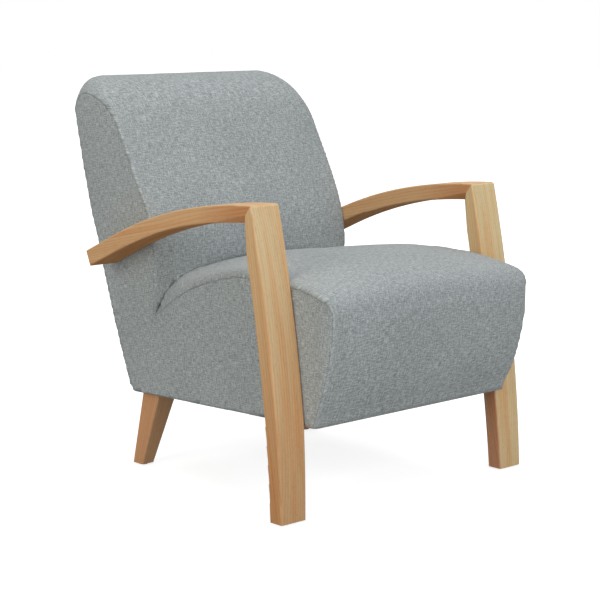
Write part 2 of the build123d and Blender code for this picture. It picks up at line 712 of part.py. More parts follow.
def leg_block():
    """The block in a rear corner that a rear leg is bolted to."""
    y_front = REAR_LEG_TOP_Y - LEG_BLOCK / 2
    y_rear = HEM_Y - REAR_INSET
    top = BASE_RAIL_LOW - TEE_NUT_PLATE
    section = [base(y_front), base(y_rear), (y_rear, top), (y_front, top)]
    block = board(section, GABLE_INSIDE - LEG_BLOCK, GABLE_INSIDE)
    return cut(block, [stud_hole(DOWEL_FIT), tee_nut_barrel(DOWEL_FIT)])


def tee_nut_barrel(fit):
    """The space of a tee nut's barrel, down from the top of its block."""
    top = BASE_RAIL_LOW - TEE_NUT_PLATE
    return upright(STUD_PLACE, top - TEE_NUT_BARREL_LENGTH - fit, top, TEE_NUT_BARREL + 2 * fit)


def tee_nut():
    """A tee nut in the top of a leg block."""
    plate = upright(STUD_PLACE, BASE_RAIL_LOW - TEE_NUT_PLATE, BASE_RAIL_LOW, TEE_NUT)
    return plate + tee_nut_barrel(0.0) - stud_hole(DOWEL_FIT)


def leg_stud():
    """The stud that joins a rear leg to its block."""
    low = underside(REAR_LEG_TOP_Y) - STUD_IN_LEG
    return upright(STUD_PLACE, low, BASE_RAIL_LOW, STUD)


def corner_block():
    """A triangular glue block between the front rail and the right gable, between the leg's bolts."""
    low = (LEG_BOLT_LOW + LEG_BOLT_HIGH - CORNER_BLOCK_HEIGHT) / 2
    y = FRAME_FRONT + RAIL
    corner = [(GABLE_INSIDE, y), (GABLE_INSIDE, y + CORNER_BLOCK), (GABLE_INSIDE - CORNER_BLOCK, y)]
    return extrude(Pos(0, 0, low) * make_face(Polyline(*corner, close=True)), amount=CORNER_BLOCK_HEIGHT)


# Sheet goods
def seat_straps():
    """Webbing from the front rail to the rear rail of the seat."""
    section = [
        flat(FRAME_FRONT, WEB_DROP),
        flat(SEAT_RAIL_REAR, WEB_DROP),
        flat(SEAT_RAIL_REAR, FELT),
        flat(FRAME_FRONT, FELT),
    ]
    pitch = 2 * GABLE_INSIDE / SEAT_STRAPS
    places = [pitch * (i + 0.5) - GABLE_INSIDE for i in range(SEAT_STRAPS)]
    return [board(section, x - SEAT_STRAP / 2, x + SEAT_STRAP / 2) for x in places]


def cross_straps():
    """Webbing from gable to gable, under the straps of the seat."""
    first = FRAME_FRONT + RAIL
    pitch = (SEAT_RAIL_REAR - RAIL - first) / CROSS_STRAPS
    straps = []
    for i in range(CROSS_STRAPS):
        start = first + pitch * (i + 0.5) - SEAT_STRAP / 2
        end = start + SEAT_STRAP
        section = [flat(start, GABLE_DROP), flat(end, GABLE_DROP), flat(end, WEB_DROP), flat(start, WEB_DROP)]
        straps.append(board(section, -GABLE_OUTSIDE, GABLE_OUTSIDE))
    return straps


def back_straps():
    """Webbing from post to post, across the front of the gables."""
    pitch = POST_LENGTH / BACK_STRAPS
    starts = [pitch * (i + 0.5) - BACK_STRAP / 2 for i in range(BACK_STRAPS)]
    sections = [post_board(start, BACK_STRAP, WEB, -WEB) for start in starts]
    return [board(section, -GABLE_OUTSIDE, GABLE_OUTSIDE) for section in sections]


def felt():
    """The felt that keeps the foam off the webbing."""
    section = [
        flat(FRAME_FRONT, FELT),
        flat(SEAT_RAIL_REAR, FELT),
        flat(SEAT_RAIL_REAR, SOFT_GAP),
        flat(FRAME_FRONT, SOFT_GAP),
    ]
    return board(section, -GABLE_OUTSIDE, GABLE_OUTSIDE)


def dust_cover():
    """The cloth that closes the underside."""
    rear = HEM_Y - SOFT_GAP
    sheet = [(FRAME_FRONT, underside(FRAME_FRONT)), (rear, underside(rear)), base(rear), base(FRAME_FRONT)]
    return cut(board(sheet, -GABLE_OUTSIDE, GABLE_OUTSIDE), both_sides([stud_hole(SOFT_GAP)]))


def side_pad():
    """Wadding between the right gable and its cover."""
    front = FRAME_FRONT + NOSE_EDGE_ROLL * roll(COVER / NOSE_EDGE_ROLL)
    rear_inset = REAR_INSET + REAR_EDGE_ROLL * roll(COVER / REAR_EDGE_ROLL)
    head_drop = TOP_CORNER * roll(COVER / TOP_CORNER)
    outline = gable_outline(GABLE_OUTSIDE, front, SOFT_GAP, rear_inset, head_drop)
    return cut(extrude(outline, amount=SIDE_PAD, dir=(1, 0, 0)), bolt_holes())


def side_cover():
    """The right side cover: one flat panel for the side of the seat and of the back."""
    panels = [seat_section(SIDE_INSIDE, rear=POST_FOOT_GAP), back_section(SIDE_INSIDE)]
    seat, back = [extrude(make_face(panel.edges()), amount=COVER, dir=(1, 0, 0)) for panel in panels]
    return cut(seat + back, bolt_holes())


def seat_hollow():
    """The space under the seat deck, which the frame takes."""
    front = FRAME_FRONT - SOFT_GAP
    rear = CREASE_Y + COVER
    return board([(front, 0), flat(front, 0), flat(rear, 0), (rear, 0)], -HALF, HALF)


def back_hollow():
    """The space behind the foam of the back, which the frame takes."""
    foot = moved(POST_FOOT, POST_BACK, -WEB - SOFT_GAP)
    head = moved(moved(POST_HEAD, POST_BACK, -WEB - SOFT_GAP), POST_ALONG, SOFT_GAP)
    outline = [(0, 0), (0, DECK_REAR), (foot[0], DECK_REAR), foot, head, (FAR, head[1]), (FAR, 0)]
    return board(outline, -HALF, HALF)


def rear_zone():
    """The space of the panel at the back's rear, from below its shoulder to the hem under the heel."""
    outline = [
        (SHOULDER_Y - REAR_PANEL_WRAP, SHOULDER_HEIGHT),
        (FAR, SHOULDER_HEIGHT),
        (FAR, 0),
        (HEM_Y, 0),
        (HEM_Y, UNDERSIDE_REAR),
    ]
    return board(outline, -HALF, HALF)


def seat_cover():
    """The cover of the seat: one panel over its top, nose and front."""
    return seat_form(SIDE_INSIDE) - seat_form(HALF, COVER) - back_form(HALF, -SOFT_GAP)


def back_covers():
    """The covers of the back: the front with the top, down to the seat deck, and the rear panel."""
    shell = back_form(SIDE_INSIDE) - back_form(HALF, COVER)
    tail = DECK_REAR + SOFT_GAP
    below_deck = board([(0, 0), (FAR, 0), (FAR, tail), (0, tail)], -HALF, HALF)
    return shell - rear_zone() - below_deck, shell & rear_zone()


def seat_foam():
    """The foam of the seat: a crowned block on the deck, with an apron down the front."""
    return seat_form(FOAM_END, COVER + SOFT_GAP) - back_form(HALF, -SOFT_GAP) - seat_hollow()


def back_foam():
    """The foam of the back, over the front and the top of its posts."""
    return back_form(FOAM_END, COVER + SOFT_GAP) - back_hollow()


# Pieces
pieces = {}
singles = {
    "armrest": armrest(),
    "front_leg": front_leg(),
    "rear_leg": rear_leg(),
    "side_gable": gable(),
    "side_pad": side_pad(),
    "side_cover": side_cover(),
    "leg_block": leg_block(),
}
for name, solid in singles.items():
    pieces[f"{name}_right"] = [solid]
    pieces[f"{name}_left"] = [mirror(solid, about=Plane.YZ)]

pairs = {
    "mitre_dowels": mitre_dowels(DOWEL, DOWEL_LENGTH),
    "arm_bolts": [arm_bolt(place) for place in BOLT_PLACES],
    "arm_bolt_washers": [bolt_washer(place) for place in BOLT_PLACES],
    "arm_inserts": [threaded_insert(place) for place in BOLT_PLACES],
    "leg_glides": [glide(FRONT_FOOT_PLACE), glide(REAR_FOOT_PLACE)],
    "leg_studs": [leg_stud()],
    "leg_tee_nuts": [tee_nut()],
    "frame_screws": [frame_screw(place) for place in SCREW_PLACES],
    "corner_blocks": [corner_block()],
}
for name, solids in pairs.items():
    pieces[name] = both_sides(solids)

for name, section in RAIL_SECTIONS.items():
    pieces[name] = [rail(section)]
pieces["seat_webbing_long"] = seat_straps()
pieces["seat_webbing_cross"] = cross_straps()
pieces["back_webbing"] = back_straps()
pieces["seat_felt"] = [felt()]
pieces["dust_cover"] = [dust_cover()]
pieces["seat_foam"] = [seat_foam()]
pieces["back_foam"] = [back_foam()]
pieces["seat_cover"] = [seat_cover()]
front_panel, rear_panel = back_covers()
pieces["inside_back_cover"] = [front_panel]
pieces["outside_back_cover"] = [rear_panel]

# The origin goes to the floor under the middle of the chair
whole = Compound(children=[solid for group in pieces.values() for piece in group for solid in piece.solids()])
reach = whole.bounding_box()
to_origin = Pos(0, -(reach.min.Y + reach.max.Y) / 2, 0)
os.makedirs("parts", exist_ok=True)
for name, group in pieces.items():
    solids = [solid for piece in group for solid in (to_origin * piece).solids()]
    export_step(Compound(children=solids) if len(solids) > 1 else solids[0], f"parts/{name}.step")
print("moved to the origin by", to_origin.position.Y)
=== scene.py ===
"""Low upholstered armchair: grey woven covers between mitred, bowed timber side frames."""
import math

import bmesh
import bpy
from bpy.props import FloatProperty, FloatVectorProperty, IntProperty, PointerProperty
from bpy.types import Operator, Panel, PropertyGroup
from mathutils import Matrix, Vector, noise
from mathutils.bvhtree import BVHTree


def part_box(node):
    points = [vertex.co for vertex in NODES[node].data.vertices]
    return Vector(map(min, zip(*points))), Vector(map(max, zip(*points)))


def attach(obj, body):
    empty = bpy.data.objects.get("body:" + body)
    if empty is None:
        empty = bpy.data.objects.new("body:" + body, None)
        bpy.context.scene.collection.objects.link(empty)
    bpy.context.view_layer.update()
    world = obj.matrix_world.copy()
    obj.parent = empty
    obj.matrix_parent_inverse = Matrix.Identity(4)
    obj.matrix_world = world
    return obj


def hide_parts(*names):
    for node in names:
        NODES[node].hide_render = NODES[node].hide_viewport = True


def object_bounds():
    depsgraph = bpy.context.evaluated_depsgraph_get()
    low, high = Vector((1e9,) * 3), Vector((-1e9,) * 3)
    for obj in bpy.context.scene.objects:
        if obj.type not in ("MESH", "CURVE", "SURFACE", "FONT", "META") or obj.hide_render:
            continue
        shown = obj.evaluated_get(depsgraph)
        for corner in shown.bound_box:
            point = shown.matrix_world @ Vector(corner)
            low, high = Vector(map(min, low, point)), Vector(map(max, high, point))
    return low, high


bl_info = {
    "name": "Armchair dressing",
    "version": (1, 0, 0),
    "blender": (4, 5, 0),
    "location": "View3D > Sidebar > Armchair",
    "description": "Sews the covers and finishes the timber of an upholstered armchair",
    "category": "Object",
}

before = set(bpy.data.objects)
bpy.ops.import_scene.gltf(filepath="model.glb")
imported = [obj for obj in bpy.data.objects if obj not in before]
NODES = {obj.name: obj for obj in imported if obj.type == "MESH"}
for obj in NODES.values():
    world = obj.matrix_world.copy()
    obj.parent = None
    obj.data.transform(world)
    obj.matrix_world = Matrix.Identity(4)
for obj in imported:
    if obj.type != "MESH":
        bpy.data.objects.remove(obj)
CAD_BOX = [list(corner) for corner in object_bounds()]

# What the covers take from the CAD solids, in metres; the front faces -Y
SOFT_NODES = (
    "seat_cover", "seat_foam", "inside_back_cover", "back_foam", "outside_back_cover",
    "side_cover_left", "side_cover_right", "side_pad_left", "side_pad_right",
)
CHAIR_TOP = CAD_BOX[1][2]
SIDE_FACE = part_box("side_cover_right")[1].x
SEAT_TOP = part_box("seat_cover")[1].z
TOP_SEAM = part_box("outside_back_cover")[1].z
LEG_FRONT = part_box("front_leg_right")[0].y
SOLE_LOW, SOLE_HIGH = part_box("dust_cover")

# The plane that parts the front of the back from its rear
BACK_FOOT_Y = 0.18
BACK_FOOT_HEIGHT = 0.166
BACK_LEAN = 0.277

# Rounded edges of the cushions: their radii, the depth over which the seat's nose turns, and
# the length of the raked rear for each metre of its height
TOP_CORNER = 0.050
TOP_ROLL = 0.05
EDGE_ROLL = 0.032
REAR_EDGE_ROLL = 0.01
NOSE_REACH = 0.25
REAR_LENGTH = 1.07

# Board that shuts the hollow under the seat while the skin is made
DECK_SIZE = (2 * SIDE_FACE - 0.012, 0.56, 0.02)
DECK_PLACE = (0, -0.07, 0.192)
DECK_GAP = 0.0005
WELD = 1e-6

# Where the skin is sewn or tacked down, how wide that fades out and how firmly it holds
SIDE_PIN, SIDE_PIN_FADE = 0.014, 0.010
SOLE_PIN, SOLE_PIN_FADE = 0.02, 0.008
SEAM_PIN_FADE, SEAM_HOLD = 0.006, 1.5
FOLD_WIDTH, FOLD_HOLD = 0.011, 2

# The skin as cloth
CLOTH_SETTINGS = {
    "quality": 5,
    "mass": 0.3,
    "tension_stiffness": 15,
    "compression_stiffness": 15,
    "shear_stiffness": 5,
    "bending_stiffness": 0.5,
    "use_pressure": True,
}

# Where the filling shapes the skin: from nothing at the first value to all of it at the second
FRONT_CORNER_Y = (-0.18, -0.30)
REAR_FILL_HEIGHT = (0.55, 0.40)
REAR_FILL_WAY = (0.7, 0.2)
BACK_EDGE_WAY = (0.0, -0.5)
ON_SEAT_GAP = (0.04, 0.0)
ON_SEAT_HEIGHT = (0.29, 0.39)
SEAT_REAR_Y = (-0.16, 0.14)
AT_BACK_GAP = (0.03, 0.0)
FRONT_HEM_Y = (SOLE_LOW.y + 0.03, SOLE_LOW.y)
BEFORE_LEG_Y = (LEG_FRONT - 0.006, LEG_FRONT - 0.036)
ABOVE_ARM_HEIGHT = (0.60, 0.69)

# The armrests' fall towards the rear, and where the sides of the back start
ARM_DROOP = 0.42
BACK_SIDE_Y = 0.08

# Limits of outward directions, as parts of a unit vector
NOT_REARWARD, NOT_DOWNWARD = 0.2, -0.2
REARWARD = 0.3
DOWNWARD = -0.6

# Hollows in the filling, in waves per metre
BROAD_WAVES, FINE_WAVES = 11, 24

# Cuts: the side seams in multiples of their inset, how near the fold's cut stays to both
# cushions and how exact it is, and the width of the slivers that are dissolved
SEAM_CUTS = (2, 1, 0.375)
FOLD_REACH = 0.05
FOLD_CUT = 1e-7
SLIVER = 0.0003

# How high above the sole a face still counts as underside, and a point as hem
UNDERSIDE_REACH = 0.05
HEM_DEPTH = 0.007

# Numbers of the covers
SEAT, BACK, REAR, LEFT, RIGHT = range(1, 6)

# The dust sheet: what its size falls short by, its distance from the sole, and its mesh
SHEET_EDGE = 0.002
SHEET_DROP = 0.0012
SHEET_THICKNESS = 0.0006
SHEET_CELLS = 40

# The usual range of noise
NOISE_LOW, NOISE_HIGH = 0.3, 0.7

# Cloth: widths in metres, and where its three colours lie in the blend of fibres
YARN_WIDTH, SLUB_LENGTH, FLECK_SIZE = 0.0019, 0.014, 0.0028
FLECK_SHARE = 0.2
YARN_STOPS = (0.365, 0.5, 0.635)

# Timber figure: waves per metre across and along the grain
WANDER = (7, 7, 1.3)
FLAMES = (38, 38, 1.9)
STRIPES = (75, 75, 1.3)
FIBRES = (820, 820, 9)
PORES = (1500, 1500, 55)
RING_WAY = (0.74, 0.67)
RING_WANDER = 0.035

# Which faces of the timber take painted shade: none at the first value, all of it at the second
SIDE_FACE_SHADE_WAY = (0.3, 0.9)
INNER_SHADE_WAY = (-0.1, -0.25)
INNER_SHADE_HEIGHT = (0.42, 0.28)
UNDERSIDE_SHADE_WAY = (-0.3, -0.9)

# Boards: turn of the grain from upright in degrees, tint (painted shade on the rear legs, painted
# light
# # on the right leg), and the axis along which painted shade reddens them, with where that starts
# and
# # ends; on the armrests that reddening also stands for the grain's figure near the mitre
BOARDS = {
    "left_leg_timber": {"turn": (8.2, 0, 0), "end_shade": (2, 0.58, 0.05)},
    # Right leg, the far one: a lighter copy of the leg timber, painted light, with a weaker
    # painted shade towards the floor.
    "right_leg_timber": {
        "turn": (8.2, 0, 0), "tone_and_painted_light": (1.06, 1.14, 1.16), "end_shade": (2, 0.58, -0.6),
    },
    "armrest_timber": {
        "turn": (102, 0, 0), "tone_and_painted_light": (0.97, 0.89, 0.86), "end_shade": (1, -0.09, -0.21),
        "flank_only": True,
    },
    "dowel_timber": {},
    # Rear legs: a darker, redder copy of the timber, painted shade for their place beneath the
    # seat.
    "rear_leg_timber": {"turn": (-17, 0, 0), "tone_and_painted_light": (0.97, 0.78, 0.74)},
    "softwood_rails": {"turn": (0, 90, 0), "tone_and_painted_light": (1.0, 0.96, 0.9)},
}

# Lamps: name, setting for its power, place, point it faces, size and tint
WHITE = (1, 1, 1)
LAMPS = (
    ("overhead_lamp", "key", (0.5, 0.5, 5.2), (0, 0, 0.35), 4.4, WHITE),
    ("front_lamp", "fill", (-0.7, -3.7, 1.9), (0, 0, 0.4), 2.2, (0.96, 1.0, 1.02)),
    ("left_lamp", "left", (-3.6, -0.6, 1.5), (0, 0, 0.4), 2.0, (0.99, 1.0, 0.945)),
)

# The floor, and the distances between which its shadow is lost in white
FLOOR_SIZE = 20
SHADOW_REACH = (0.5, 1.6)
SEEN_FLOOR = (0.5, 0.5, 0.5)

# Camera at the photograph's angle: metres, degrees and millimetres
CAMERA_PLACE = (-2.5448, -2.7725, 0.9717)
CAMERA_DIP = 9.294
CAMERA_TURN = -42.72
SENSOR_WIDTH = 36


def colour(name, words, value):
    """A colour a user may change, in linear light."""
    return FloatVectorProperty(
        name=name, description=words, subtype="COLOR", size=3, min=0, max=1, default=value
    )


def length(name, words, value):
    """A length a user may change, in metres."""
    return FloatProperty(
        name=name, description=words, default=value, min=0, unit="LENGTH", precision=4
    )


class ArmchairCloth(PropertyGroup):
    """Sizes and colours of the covers."""

    voxel: length("Mesh size", "Size of the cover's mesh", 0.0055)
    slack: length("Slack", "How far the cover starts inside its full shape", 0.002)
    swell: length("Swell", "The most that the filling pushes the cover out", 0.003)
    sink: length("Sink", "The most that the cover pulls the filling in", 0.001)
    spread: length("Spread", "How far the sides swell clear of the side frames", 0.004)
    pressure: FloatProperty(
        name="Pressure", description="Push of the filling on the cover", default=4.0, min=0
    )
    steps: IntProperty(
        name="Steps", description="Frames for which the cover settles", default=20, min=1
    )
    unevenness: length("Unevenness", "Height of the soft hollows in the filling", 0.0007)
    seat_edge: length("Seat edge", "How far the seat's side edges are stuffed out", 0.005)
    corner_fill: length("Corner fill", "How much further the front corners are stuffed", 0.003)
    back_edge: length("Back edge", "How far the back's side edges are stuffed out", 0.004)
    seam_inset: length("Seam inset", "Distance of the side seams from the side faces", 0.0008)
    seam_depth: length("Seam depth", "How far a seam draws the cover in", 0.001)
    crown: length("Crown", "How far the middle of the seat rises", 0.007)
    side_fall: length("Side fall", "How far the seat falls to its sides", 0.004)
    rear_fall: length("Rear fall", "How far the seat's rear corners fall", 0.022)
    rear_fill: length("Rear fill", "How far the lower rear is stuffed out", 0.005)
    hem: length("Hem", "How far the front hem hangs below the frame", 0.003)
    fold_depth: length("Fold depth", "How far the cover is drawn in behind the seat", 0.006)
    thickness: length("Cloth thickness", "Thickness of the cover cloth", 0.0018)
    yarn: length("Weave repeat", "Two yarns of the plain weave", 0.0028)
    dark: colour("Dark yarn", "Darkest fibre of the cover cloth", (0.165, 0.184, 0.187))
    middle: colour("Middle yarn", "Main fibre of the cover cloth", (0.313, 0.338, 0.341))
    light: colour("Light yarn", "Palest fibre of the cover cloth", (0.525, 0.55, 0.553))
    lining: colour("Dust sheet", "Spun sheet under the seat", (0.05, 0.05, 0.052))
    sag: length("Dust sheet sag", "How far the dust sheet hangs at its middle", 0.003)


class ArmchairTimber(PropertyGroup):
    """Colours and figure of the timber, and the painted shade on its faces and ends."""

    pale: colour("Pale timber", "Early wood of the side frames", (0.69, 0.545, 0.33))
    warm: colour("Warm timber", "Late wood of the side frames", (0.545, 0.36, 0.185))
    streak: colour("Streak tint", "Tint of the orange streaks", (1.0, 0.83, 0.72))
    # Painted shade: side faces of the timber drawn darker and more orange than the front faces.
    side_face_shade: colour("Flank tint", "Tint of the side faces", (0.88, 0.76, 0.68))
    # Painted shade: faces that look towards the seat, low down beneath it, drawn redder.
    inner: colour("Inner tint", "Tint of the faces towards the seat", (1.0, 0.80, 0.90))
    # Painted shade: faces that look down drawn darker and redder.
    under: colour("Underside tint", "Tint of the faces that look down", (0.72, 0.56, 0.44))
    # Painted shade: a board drawn darker and redder towards one end, the legs towards the floor;
    # on the armrests it also stands for the grain's figure near the mitre.
    redder: colour("Red tint", "Tint at the redder end of a board", (0.83, 0.68, 0.59))
    ring: length("Ring spacing", "Distance between growth rings", 0.0045)
    plywood: colour("Plywood", "Gables inside", (0.6, 0.44, 0.26))
    veneer: length("Veneer", "Thickness of the plywood's layers", 0.0018)


class ArmchairFittings(PropertyGroup):
    """Colours of the small parts."""

    glide: colour("Glide", "Plastic under the feet", (0.035, 0.03, 0.028))
    steel: colour("Steel", "Zinc-plated fasteners", (0.58, 0.58, 0.56))
    webbing: colour("Webbing", "Elastic straps", (0.12, 0.1, 0.085))
    rib: length("Webbing rib", "Distance between the ribs along a strap", 0.006)
    pick: length("Webbing pick", "Distance between the yarns across a strap", 0.0016)
    felt: colour("Felt", "Pad over the webbing", (0.42, 0.41, 0.39))


class ArmchairStage(PropertyGroup):
    """Floor, light and camera."""

    floor: colour("Floor", "Floor as it lights the chair from below", (0.42, 0.41, 0.4))
    shadow: FloatProperty(
        name="Shadow", description="Share of the shadow that the floor shows", default=0.2,
        min=0, max=1, subtype="FACTOR",
    )
    ambient: FloatProperty(name="Ambient", description="Even light all round", default=0.32, min=0)
    key: FloatProperty(name="Key", description="Overhead lamp in watts", default=147.0, min=0)
    fill: FloatProperty(name="Fill", description="Front lamp in watts", default=72.0, min=0)
    left: FloatProperty(name="Left", description="Left lamp in watts", default=60.0, min=0)
    lens: FloatProperty(
        name="Lens", description="Focal length in millimetres", default=108.2, min=1
    )


class Finish:
    """The nodes of a material or a world in the making."""

    def __init__(self, owner):
        owner.use_nodes = True
        self.owner = owner
        self.tree = owner.node_tree
        self.tree.nodes.clear()

    @classmethod
    def named(cls, name):
        """A finish for a new material."""
        return cls(bpy.data.materials.new(name))

    def add(self, kind, inputs=(), **settings):
        """A node with its settings, and its inputs set or linked."""
        node = self.tree.nodes.new("ShaderNode" + kind)
        for key, value in settings.items():
            setattr(node, key, value)
        for key, value in dict(inputs).items():
            self.feed(node.inputs[key], value)
        return node

    def feed(self, socket, value):
        """A socket linked to another node's output or set to a constant."""
        if isinstance(value, bpy.types.NodeSocket):
            self.tree.links.new(value, socket)
        elif socket.type == "RGBA" and len(value) == 3:
            socket.default_value = (*value, 1)
        else:
            socket.default_value = value

    def room(self):
        """Places in the chair's own frame."""
        return self.add("TexCoord").outputs["Object"]

    def axes(self, vector):
        """The three parts of a vector."""
        return self.add("SeparateXYZ", {0: vector}).outputs

    def sums(self, operation, a, b=0.0):
        """One sum on two values."""
        return self.add("Math", {0: a, 1: b}, operation=operation).outputs[0]

    def wave(self, value, repeat):
        """A sine wave along a value."""
        return self.sums("SINE", self.sums("MULTIPLY", value, 2 * math.pi / repeat))

    def mix(self, share, a, b, blend="MIX"):
        """Two colours mixed."""
        node = self.add("Mix", {0: share, 6: a, 7: b}, data_type="RGBA", blend_type=blend)
        return node.outputs[2]

    def tinted(self, shade, tint, share=None):
        """A colour times a tint, all over or by a share."""
        full = self.mix(1.0, shade, tint, "MULTIPLY")
        return full if share is None else self.mix(share, shade, full)

    def spread(self, value, low, high, new_low=0.0, new_high=1.0):
        """A value moved from one range to another and held inside it."""
        node = self.add("MapRange", {0: value, 1: low, 2: high, 3: new_low, 4: new_high})
        return node.outputs[0]

    def vary(self, cloud, low, high):
        """Noise moved from its usual range to another."""
        return self.spread(cloud, NOISE_LOW, NOISE_HIGH, low, high)

    def shades(self, cloud, dark, light):
        """Two colours over the usual range of noise."""
        return self.ramp(cloud, (NOISE_LOW, dark), (NOISE_HIGH, light))

    def ramp(self, value, *stops):
        """A run of colours, each at its place from 0 to 1."""
        node = self.add("ValToRGB", {0: value})
        marks = node.color_ramp.elements
        while len(marks) < len(stops):
            marks.new(1.0)
        for mark, (place, shade) in zip(marks, stops):
            mark.position = place
            mark.color = (*shade, 1)
        return node.outputs[0]

    def place(self, vector, scale=(1, 1, 1), turn=(0, 0, 0), shift=(0, 0, 0)):
        """Coordinates moved, turned and scaled."""
        node = self.add("Mapping", {0: vector, 1: shift, 2: turn, 3: scale})
        return node.outputs[0]

    def cloud(self, vector, scale=1.0, detail=2.0, rough=0.5):
        """Smooth noise."""
        node = self.add(
            "TexNoise",
            {"Vector": vector, "Scale": scale, "Detail": detail, "Roughness": rough},
        )
        return node.outputs["Fac"]

    def close(self, shade, rough, height, depth, strength, **sockets):
        """The surface shader, with the relief that the height gives; returns the material."""
        surface = self.add("BsdfPrincipled", {"Base Color": shade, "Roughness": rough})
        for key, value in sockets.items():
            surface.inputs[key.replace("_", " ")].default_value = value
        relief = self.add("Bump", {"Height": height, "Distance": depth, "Strength": strength})
        self.feed(surface.inputs["Normal"], relief.outputs[0])
        output = self.add("OutputMaterial", {"Surface": surface.outputs[0]})
        output.is_active_output = True
        return self.owner


def shaded(tint, factor):
    """A colour made darker or paler."""
    return tuple(min(1.0, factor * part) for part in tint)


def grey(level):
    """A grey of one level."""
    return (level, level, level)


def woven_cloth(cloth, name):
    """Plain-woven melange cloth: two yarn directions, slubs, soft painted shade between the yarns
    and a fine relief.
    """
    made = Finish.named(name)
    weave = made.add("UVMap", uv_map="weave").outputs[0]
    axes = made.axes(weave)
    over = made.sums(
        "MULTIPLY", made.wave(axes[0], cloth.yarn), made.wave(axes[1], cloth.yarn)
    )
    across, along, dots = 1 / YARN_WIDTH, 1 / SLUB_LENGTH, 1 / FLECK_SIZE
    warp = made.cloud(made.place(weave, (across, along, 1)), detail=3, rough=0.6)
    weft = made.cloud(made.place(weave, (along, across, 1), shift=(3, 7, 0)), detail=3, rough=0.6)
    fibre = made.mix(made.spread(over, -0.5, 0.5), warp, weft)
    fleck = made.cloud(made.place(weave, (dots, dots, 1)), detail=1)
    blend = made.mix(FLECK_SHARE, fibre, fleck)
    shade = made.ramp(blend, *zip(YARN_STOPS, (cloth.dark, cloth.middle, cloth.light)))
    wear = made.vary(made.cloud(made.room(), 6.0, 3), 0.95, 1.05)
    # Painted shade: the cloth is darker along the edges of the yarns, where the weave dips between
    # them.
    hollow = made.spread(made.sums("ABSOLUTE", over), 0.0, 0.5, 0.88, 1.0)
    shade = made.tinted(made.tinted(shade, wear), hollow)
    height = made.sums("ADD", made.sums("MULTIPLY", over, 0.5), blend)
    rough = made.vary(blend, 0.96, 0.84)
    return made.close(
        shade, rough, height, depth=0.00035, strength=0.7,
        Sheen_Weight=0.12, Sheen_Roughness=0.5, Specular_IOR_Level=0.15,
    )


def timber_grain(made, timber, board):
    """Growth rings, streaks, fibres and pores along a board: its colour, figure and relief."""
    wander = made.cloud(made.place(board, WANDER), detail=2)
    axes = made.axes(board)
    wide, deep = (made.sums("MULTIPLY", axes[index], RING_WAY[index]) for index in (0, 1))
    heart = made.sums("ADD", wide, deep)
    heart = made.sums("ADD", heart, made.sums("MULTIPLY", wander, RING_WANDER))
    ring = made.sums("FRACT", made.sums("DIVIDE", heart, timber.ring))
    band = made.ramp(
        ring, (0.0, grey(0.25)), (0.55, grey(0.45)), (0.86, grey(1.0)), (1.0, grey(0.3))
    )
    fibre = made.cloud(made.place(board, FIBRES), detail=3, rough=0.65)
    stripe = made.cloud(made.place(board, STRIPES), detail=3, rough=0.6)
    figure = made.mix(0.45, made.mix(0.5, band, fibre), stripe)
    shade = made.ramp(figure, (0.28, timber.pale), (0.72, timber.warm))
    flame = made.cloud(made.place(board, FLAMES, shift=(5, 2, 8)), detail=2)
    shade = made.tinted(shade, timber.streak, made.spread(flame, 0.48, 0.66))
    pore = made.cloud(made.place(board, PORES), detail=1)
    shade = made.tinted(shade, made.spread(pore, 0.62, 0.72, 1.0, 0.72))
    return shade, figure, made.mix(0.5, fibre, pore)


def figured_timber(timber, name, turn=(0, 0, 0), tone_and_painted_light=WHITE, end_shade=None, flank_only=False):
    """Straight-grained timber with painted shade: darker, warmer side faces, faces towards the
    seat and undersides.

    turn lays the grain along the board, in degrees, and tone is the board's own tint, with painted
    shade in it on the rear legs and painted light on the right leg. fade is the axis along which
    painted shade turns the board redder, and where that starts and ends; on the armrests it also
    stands for the grain's figure near the mitre. flank_only keeps that to the side faces."""
    made = Finish.named(name)
    room = made.room()
    board = made.place(room, turn=[math.radians(angle) for angle in turn])
    shade, figure, relief = timber_grain(made, timber, board)
    shade = made.tinted(shade, tone_and_painted_light)
    facing = made.axes(made.add("NewGeometry").outputs["Normal"])
    spot = made.axes(room)
    # Painted shade on the side faces.
    flanks = made.spread(made.sums("ABSOLUTE", facing[0]), *SIDE_FACE_SHADE_WAY)
    shade = made.tinted(shade, timber.side_face_shade, flanks)
    # Painted shade on faces that look towards the seat, only below the seat.
    inner = made.spread(made.sums("MULTIPLY", facing[0], spot[0]), *INNER_SHADE_WAY)
    inner = made.sums("MULTIPLY", inner, made.spread(spot[2], *INNER_SHADE_HEIGHT))
    shade = made.tinted(shade, timber.inner, inner)
    # Painted shade on faces that look down; the same share also makes them rougher.
    under = made.spread(facing[2], *UNDERSIDE_SHADE_WAY)
    shade = made.tinted(shade, timber.under, under)
    # Painted shade towards one end of the board; on the armrests partly the grain's figure near
    # the mitre.
    if end_shade is not None:
        axis, start, end = end_shade
        share = made.spread(spot[axis], start, end)
        if flank_only:
            share = made.sums("MULTIPLY", share, flanks)
        shade = made.tinted(shade, timber.redder, share)
    rough = made.sums("MAXIMUM", made.spread(figure, 0.2, 0.8, 0.62, 0.5), under)
    return made.close(shade, rough, relief, depth=0.0001, strength=0.25, Specular_IOR_Level=0.12)


def layered_ply(timber, name):
    """Plywood: thin veneers through the thickness, faint face grain."""
    made = Finish.named(name)
    room = made.room()
    veneer = made.sums("PINGPONG", made.axes(room)[0], timber.veneer)
    fibre = made.cloud(made.place(room, (300, 300, 9)), detail=3)
    layer = made.mix(0.5, made.spread(veneer, 0.0, timber.veneer), fibre)
    shade = made.shades(layer, shaded(timber.plywood, 0.62), timber.plywood)
    rough = made.vary(fibre, 0.75, 0.6)
    return made.close(shade, rough, fibre, depth=0.0002, strength=0.4)


